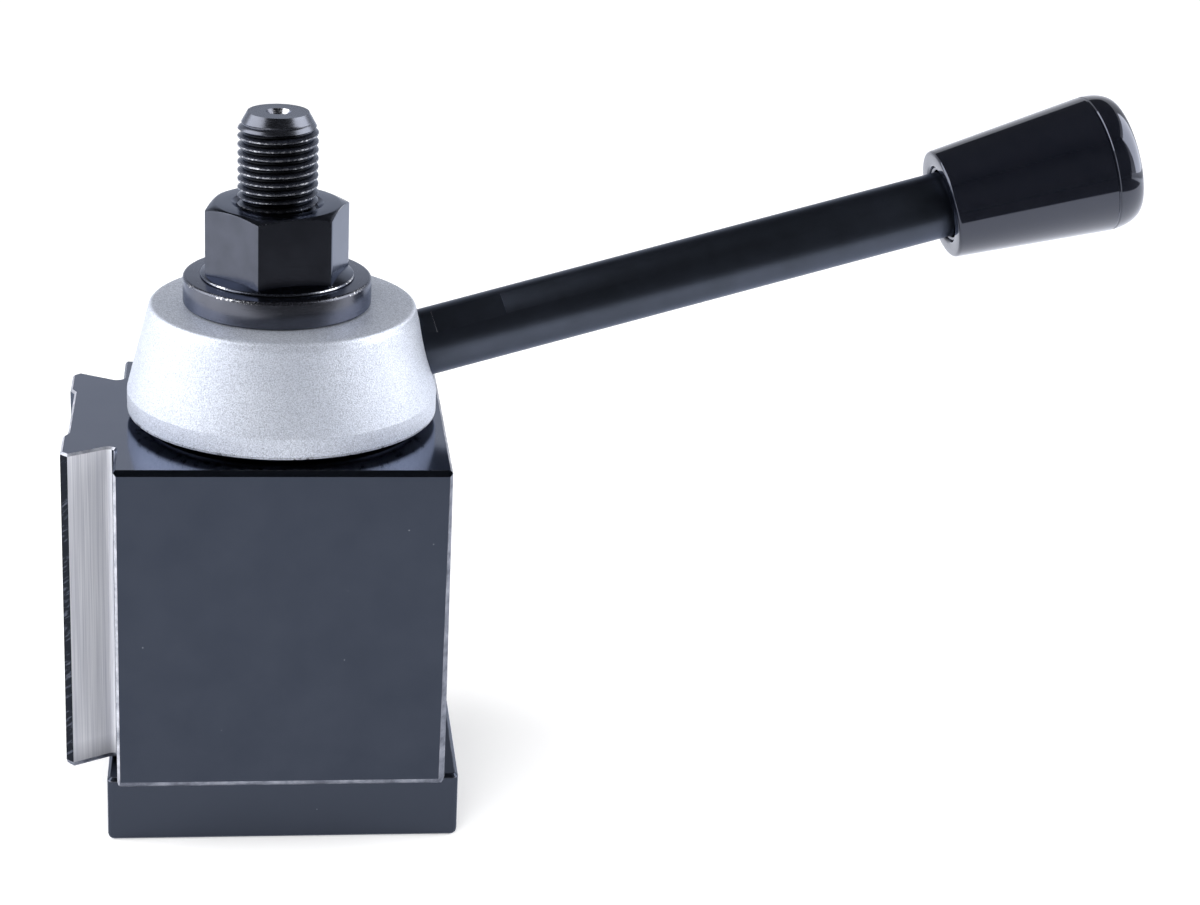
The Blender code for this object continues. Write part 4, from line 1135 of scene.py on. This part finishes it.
# The rod has two spanner flats near the collar
def dressRod():
    look = {
        **turned, "colour": "#40454f", "pale": "#474c58", "roughness": 0.36, "mottle": 7 * mm,
        "spacing": 0.2 * mm, "around": 1.5, "lift": 0.001 * mm,
    }
    material = turnedOxide("black oxide on drawn rod", look, handleCentre, tuple(handleTurn))
    # pale patches on the flats' broken edges: partly wear, partly a painted highlight
    rubbed = wornEdge("rubbed end of the flat with painted highlight", "#5c5f69", "#d4d6e0", 0.4, 0.6)
    tangEnd = mouthFloor + rod["tangLength"]
    profile = roundedProfile([
        (0.0, rod["start"], 0),
        (rod["neckRadius"], rod["start"], 0.4 * mm),
        (rod["neckRadius"], rod["neckEnd"], 0),
        (rod["radius"], rod["neckEnd"], 0.1 * mm),
        (rod["radius"], mouthFloor, 0.7 * mm),
        (rod["tangRadius"], mouthFloor, 0),
        (rod["tangRadius"], tangEnd, 0.7 * mm),
        (0.0, tangEnd, 0),
    ])
    shape = spinMesh(profile, rod["steps"])
    shape.transform(handlePlace)
    piece = addPiece("handle_bar", shape, [material, rubbed])
    flatStart = rod["exit"] + rod["flatsOffset"]
    for side in (1, -1):
        away = side * (rod["flatsAcross"] / 2 + rod["radius"] / 2)
        centre = Matrix.Translation((0.0, away, flatStart + rod["flatsLength"] / 2))
        place = handlePlace @ Matrix.Rotation(rod["flatsRoll"], 4, "Z") @ centre
        cutAway(piece, boxShape(place, (2 * rod["radius"], rod["radius"], rod["flatsLength"])))
    broken = piece.modifiers.new("broken edges", "BEVEL")
    broken.width = 0.1 * mm
    broken.material = 1
    broken.segments = 2
    broken.limit_method = "ANGLE"
    broken.angle_limit = math.radians(14)
    bakeModifiers(piece)
    # Only the flats' inner ends keep the rubbed finish, whose bright patches are partly wear and partly a
    # painted highlight
    toHandle = handlePlace.inverted()
    for polygon in piece.data.polygons:
        if abs((toHandle @ polygon.center).z - flatStart) > 0.4 * mm:
            polygon.material_index = 0
    smoothMesh(piece.data)
    settle(piece, "cam", "rod_steel", "handle_rod")


def dressKnob():
    end = knob["start"] + knob["length"]
    crownFrom = end - knob["largeEdge"]
    points = [(0.0, end)]
    for x, z in arcPoints((0, 0), 1.0, 90, 0, 12):
        points.append((knob["largeRadius"] - knob["endDrop"] * (1 - x), end - knob["largeEdge"] * (1 - z)))
    # A fine parting line runs round the knob where the crown starts
    line = knob["partingLine"]
    points += [
        (knob["largeRadius"] - line, crownFrom - line),
        (knob["largeRadius"] - line, crownFrom - 2 * line),
        (knob["largeRadius"], crownFrom - 3 * line),
    ]
    # Its small end turns in over two rounded edges, and a bead in the mouth closes on the rod
    smallEdge, mouthEdge, bead = knob["smallEdge"], knob["mouthEdge"], knob["bead"]
    mouth, start = knob["mouthRadius"], knob["start"]
    points += arcPoints((knob["smallRadius"] - smallEdge, start + smallEdge), smallEdge, 0, -90, 5)
    points += arcPoints((mouth + mouthEdge, start + mouthEdge), mouthEdge, 270, 180, 5)
    points += arcPoints((mouth - bead, start + 0.9 * mm), bead, 0, -180, 8)
    points += [
        (mouth - 2 * bead, mouthFloor),
        (knob["insertRadius"], mouthFloor),
        (knob["insertRadius"], mouthFloor + knob["insertDepth"]),
        (0.0, mouthFloor + knob["insertDepth"]),
    ]
    shape = spinMesh(points, knob["steps"])
    shape.transform(handlePlace)
    piece = addPiece("taper_knob", shape, [glossPhenolic("buffed black phenolic")], 40)
    settle(piece, "cam", "knob_phenolic", "knob")


dressRod()
dressKnob()
print("handle made")


# Ends of the pistons and their slotted bushes, seen in the dovetails' outer faces
station = {
    "headings": {"left": math.pi, "back": math.pi / 2},
    "height": (blockLow.z + blockHigh.z) / 2,
    "travel": 1.5 * mm,
    "bushRadius": 9.1 * mm,
    "bushBore": 6.25 * mm,
    "bushLength": 6.3 * mm,
    "slot": (22 * mm, 2 * mm, 3 * mm),
    "pistonRadius": 6.0 * mm,
    "flangeRadius": 8.0 * mm,
    "flange": (7 * mm, 11 * mm),
    "noseRadius": 4 * mm,
    "steps": 96,
}


def outerEnds(node, side):
    # How far from the block's axis the piece ends outwards and inwards
    low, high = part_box(node)
    return (-low.x, -high.x) if side == "left" else (high.y, low.y)


def dressStation(side):
    centre = (0, 0, station["height"])
    turn = (0.0, math.pi / 2, station["headings"][side])
    place = Matrix.Translation(centre) @ Euler(turn, "XYZ").to_matrix().to_4x4()

    bushLook = {
        **turned, "colour": "#3c3f48", "pale": "#454852", "roughness": 0.3, "mottle": 4 * mm,
    }
    bushOut = outerEnds(side + "_guide_bush", side)[0]
    bushIn = bushOut - station["bushLength"]
    profile = roundedProfile([
        (station["bushBore"], bushOut - 0.2 * mm, 0),
        (station["bushBore"] + 0.2 * mm, bushOut, 0),
        (station["bushRadius"], bushOut, 0.25 * mm),
        (station["bushRadius"], bushIn, 0),
        (station["bushBore"], bushIn, 0),
    ])
    shape = spinMesh(profile, station["steps"], closed=True)
    shape.transform(place)
    oxideBush = turnedOxide("black oxide on bush", bushLook, centre, turn)
    bush = addPiece(side + "_slotted_bush", shape, [oxideBush])
    cutAway(bush, boxShape(place @ Matrix.Translation((0, 0, bushOut)), station["slot"]))
    smoothMesh(bush.data)
    settle(bush, "post", "bush_steel", side + "_guide_bush")

    pistonOut, pistonIn = outerEnds(side + "_piston", side)
    flangeIn, flangeOut = (pistonIn + reach for reach in station["flange"])
    nose = station["noseRadius"]
    points = roundedProfile([
        (0.0, pistonOut, 0),
        (station["pistonRadius"], pistonOut, 0.4 * mm),
        (station["pistonRadius"], flangeOut, 0),
        (station["flangeRadius"], flangeOut, 0.2 * mm),
        (station["flangeRadius"], flangeIn, 0.2 * mm),
        (nose, flangeIn, 0),
    ])
    points += arcPoints((0.0, pistonIn + nose), nose, 0, -90, 10)
    shape = spinMesh(points, station["steps"])
    shape.transform(place)
    ground = turnedBright("ground piston steel", "#b9bbc2", "#cfd1d8", 0.22, centre, turn)
    piston = addPiece(side + "_push_piston", shape, [ground])
    settle(piston, side + "_piston", "piston_steel", side + "_piston")

    # The return spring, which shortens against its bush as the piston comes out, keeps the frame's solid
    # here and rides with the block
    wire = turnedBright("drawn spring wire", "#8c8e95", "#a3a5ac", 0.3, centre, turn)
    spring = addPiece(side + "_coil_spring", copySolid(side + "_return_spring"), [wire])
    settle(spring, "post", "spring_steel", side + "_return_spring")
    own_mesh(spring)


for side in station["headings"]:
    dressStation(side)
print("pistons and bushes made")


# Pieces inside keep the frame's solids and take a finish each
def dressInside():
    finishes = {
        "ground sleeve steel": (("centre_sleeve",), "#b4b7be", "#c9ccd3", 0.25),
        "ground pin steel": (
            ("sleeve_pin", "drive_pin_front", "drive_pin_back"), "#bdbfc6", "#d0d2d9", 0.2,
        ),
        "turned thrust bronze": (("lower_thrust_washer",), "#a77b45", "#bd9158", 0.32),
        "hardened cam steel": (("cam_sleeve",), "#9c9ea6", "#b5b7bf", 0.25),
        "black spring steel": (("snap_ring",), "#3f4148", "#4a4c54", 0.35),
        "turned brass insert": (("knob_insert",), "#c39a4e", "#d3ad63", 0.3),
    }
    for name, (members, dark, light, roughness) in finishes.items():
        material = turnedBright(name, dark, light, roughness)
        for member in members:
            mesh = nodes[member].data
            mesh.materials.clear()
            mesh.materials.append(material)


dressInside()
print("inside pieces finished")


# Studio: pale floor, two side lights, a front light, and dark cloth that only reflections see
studio = {
    "floor": "#f4f4f5",
    "floorGlow": 0.3,
    "glowFrom": 0.5,
    "glowTo": 1.5,
    "ambient": 0.5,
    "zenith": 0.25,
    "paperTop": 0.7,
    "cloth": "#4e4f52",
    "clothRadius": 0.78,
    "clothTop": 1.0,
    "clothSpread": 58,
    "clothFrom": -0.257,
    "clothSlant": 0.4,
    "clothTo": 1.6,
}
# Each light has its place, its size and its radiance, where 1 is a white card in full light
lights = {
    "left_softbox": ((-0.66, 0.02, 0.42), (0.8, 0.7), 3.4),
    "right_softbox": ((0.72, 0.02, 0.4), (0.7, 0.7), 3.7),
    "front_softbox": ((-0.28, -0.75, 0.5), (0.4, 0.4), 8.0),
}


def seenRays(tree):
    # One for camera, glossy and transmission rays, so metal shows the same background
    rays = addNode(tree, "ShaderNodeLightPath").outputs
    seen = rays["Is Camera Ray"]
    for kind in ("Is Glossy Ray", "Is Transmission Ray"):
        seen = addNode(tree, "ShaderNodeMath", {0: seen, 1: rays[kind]}, operation="MAXIMUM")
    return seen


def makeFloor():
    # The paper stays white where the lamps fall off
    material, tree, shader = newMaterial("pale studio floor")
    place = addNode(tree, "ShaderNodeTexCoord").outputs["Object"]
    reach = addNode(tree, "ShaderNodeVectorMath", {0: place}, operation="LENGTH")
    far = addNode(tree, "ShaderNodeMapRange", {
        "Value": reach, "From Min": studio["glowFrom"], "From Max": studio["glowTo"],
        "To Min": studio["floorGlow"], "To Max": 1.0,
    })
    glow = addNode(tree, "ShaderNodeMath", {0: seenRays(tree), 1: far}, operation="MULTIPLY")
    setInputs(tree, shader, {
        "Base Color": studio["floor"], "Roughness": 0.9, "Specular IOR Level": 0.0,
        "Emission Color": (1, 1, 1, 1), "Emission Strength": glow,
    })
    shape = bmesh.new()
    bmesh.ops.create_circle(shape, cap_ends=True, segments=96, radius=4.0)
    addPiece("floor", shape, [material])


def makeCloth():
    # Dark cloth behind and above the camera, and on the floor in front of it
    material, tree, shader = newMaterial("black studio cloth")
    setInputs(tree, shader, {"Base Color": studio["cloth"], "Roughness": 0.9})
    top, steps = studio["clothTop"], 24
    columns = []
    for step in range(steps + 1):
        angle = math.radians(-90 + studio["clothSpread"] * (2 * step / steps - 1))
        x, y = studio["clothRadius"] * math.cos(angle), studio["clothRadius"] * math.sin(angle)
        nearX = x * 0.92
        nearY = studio["clothFrom"] + studio["clothSlant"] * nearX
        columns.append(
            [(nearX, nearY, 0.5 * mm), (x, y, 0.5 * mm), (x, y, top), (x, studio["clothTo"], top)],
        )
    cloth = addPiece("dark_screens", gridShape(columns), [material])
    cloth.visible_camera = False
    cloth.visible_diffuse = False
    cloth.visible_shadow = False


def makeLight(name, place, size, radiance):
    lamp = bpy.data.lights.new(name, "AREA")
    lamp.shape = "RECTANGLE"
    lamp.size, lamp.size_y = size
    lamp.energy = radiance * math.pi * size[0] * size[1]
    light = bpy.data.objects.new(name, lamp)
    light.location = place
    aim = Vector((0, 0, 0.07)) - Vector(place)
    light.rotation_euler = aim.to_track_quat("-Z", "Y").to_euler()
    bpy.context.scene.collection.objects.link(light)
    return light


def makeWorld():
    # Paper that darkens upwards in reflections, and a dimmer sky that lights the object
    world = bpy.data.worlds.new("white studio")
    bpy.context.scene.world = world
    world.use_nodes = True
    tree = world.node_tree
    tree.nodes.clear()
    direction = addNode(tree, "ShaderNodeTexCoord").outputs["Generated"]
    height = addNode(tree, "ShaderNodeSeparateXYZ", {"Vector": direction}).outputs["Z"]
    paper = addNode(tree, "ShaderNodeMapRange", {
        "Value": height, "From Min": 0.1, "From Max": 0.4, "To Min": 1.0, "To Max": studio["paperTop"],
    })
    camera = addNode(tree, "ShaderNodeLightPath").outputs["Is Camera Ray"]
    shown = addNode(tree, "ShaderNodeMath", {0: paper, 1: camera}, operation="MAXIMUM")
    sky = addNode(tree, "ShaderNodeMapRange", {
        "Value": height, "To Min": studio["ambient"], "To Max": studio["zenith"],
    })
    backgrounds = [
        addNode(tree, "ShaderNodeBackground", {"Color": (1, 1, 1, 1), "Strength": strength})
        for strength in (sky, shown)
    ]
    mixed = addNode(
        tree, "ShaderNodeMixShader", {0: seenRays(tree), 1: backgrounds[0], 2: backgrounds[1]},
    )
    addNode(tree, "ShaderNodeOutputWorld", {"Surface": mixed})


makeFloor()
makeCloth()
for name, settings in lights.items():
    light = makeLight(name, *settings)
    light.visible_glossy = name != "front_softbox"  # the front light would show as a spot in the metal
makeWorld()
print("studio lit")

# Camera where the photograph was taken, with its focal length in the photograph's pixels
camera = {
    "place": (-6.89 * mm, -478.69 * mm, 246.35 * mm),
    "yaw": 0.13291,  # radians, like the pitch and the roll
    "pitch": 0.36023,
    "roll": 0.04866,
    "focal": 2856.8,
    "frameWidth": 1200,
}
lens = bpy.data.cameras.new("camera")
lens.sensor_width = 36.0
lens.lens = camera["focal"] / camera["frameWidth"] * lens.sensor_width
lens.clip_start = 0.01
lens.clip_end = 20.0
eye = bpy.data.objects.new("camera", lens)
bpy.context.scene.collection.objects.link(eye)
eye.matrix_world = (
    Matrix.Translation(camera["place"])
    @ Matrix.Rotation(-camera["yaw"], 4, "Z")
    @ Matrix.Rotation(math.pi / 2 - camera["pitch"], 4, "X")
    @ Matrix.Rotation(camera["roll"], 4, "Z")
)
bpy.context.scene.camera = eye
bpy.context.scene.view_settings.view_transform = "Standard"
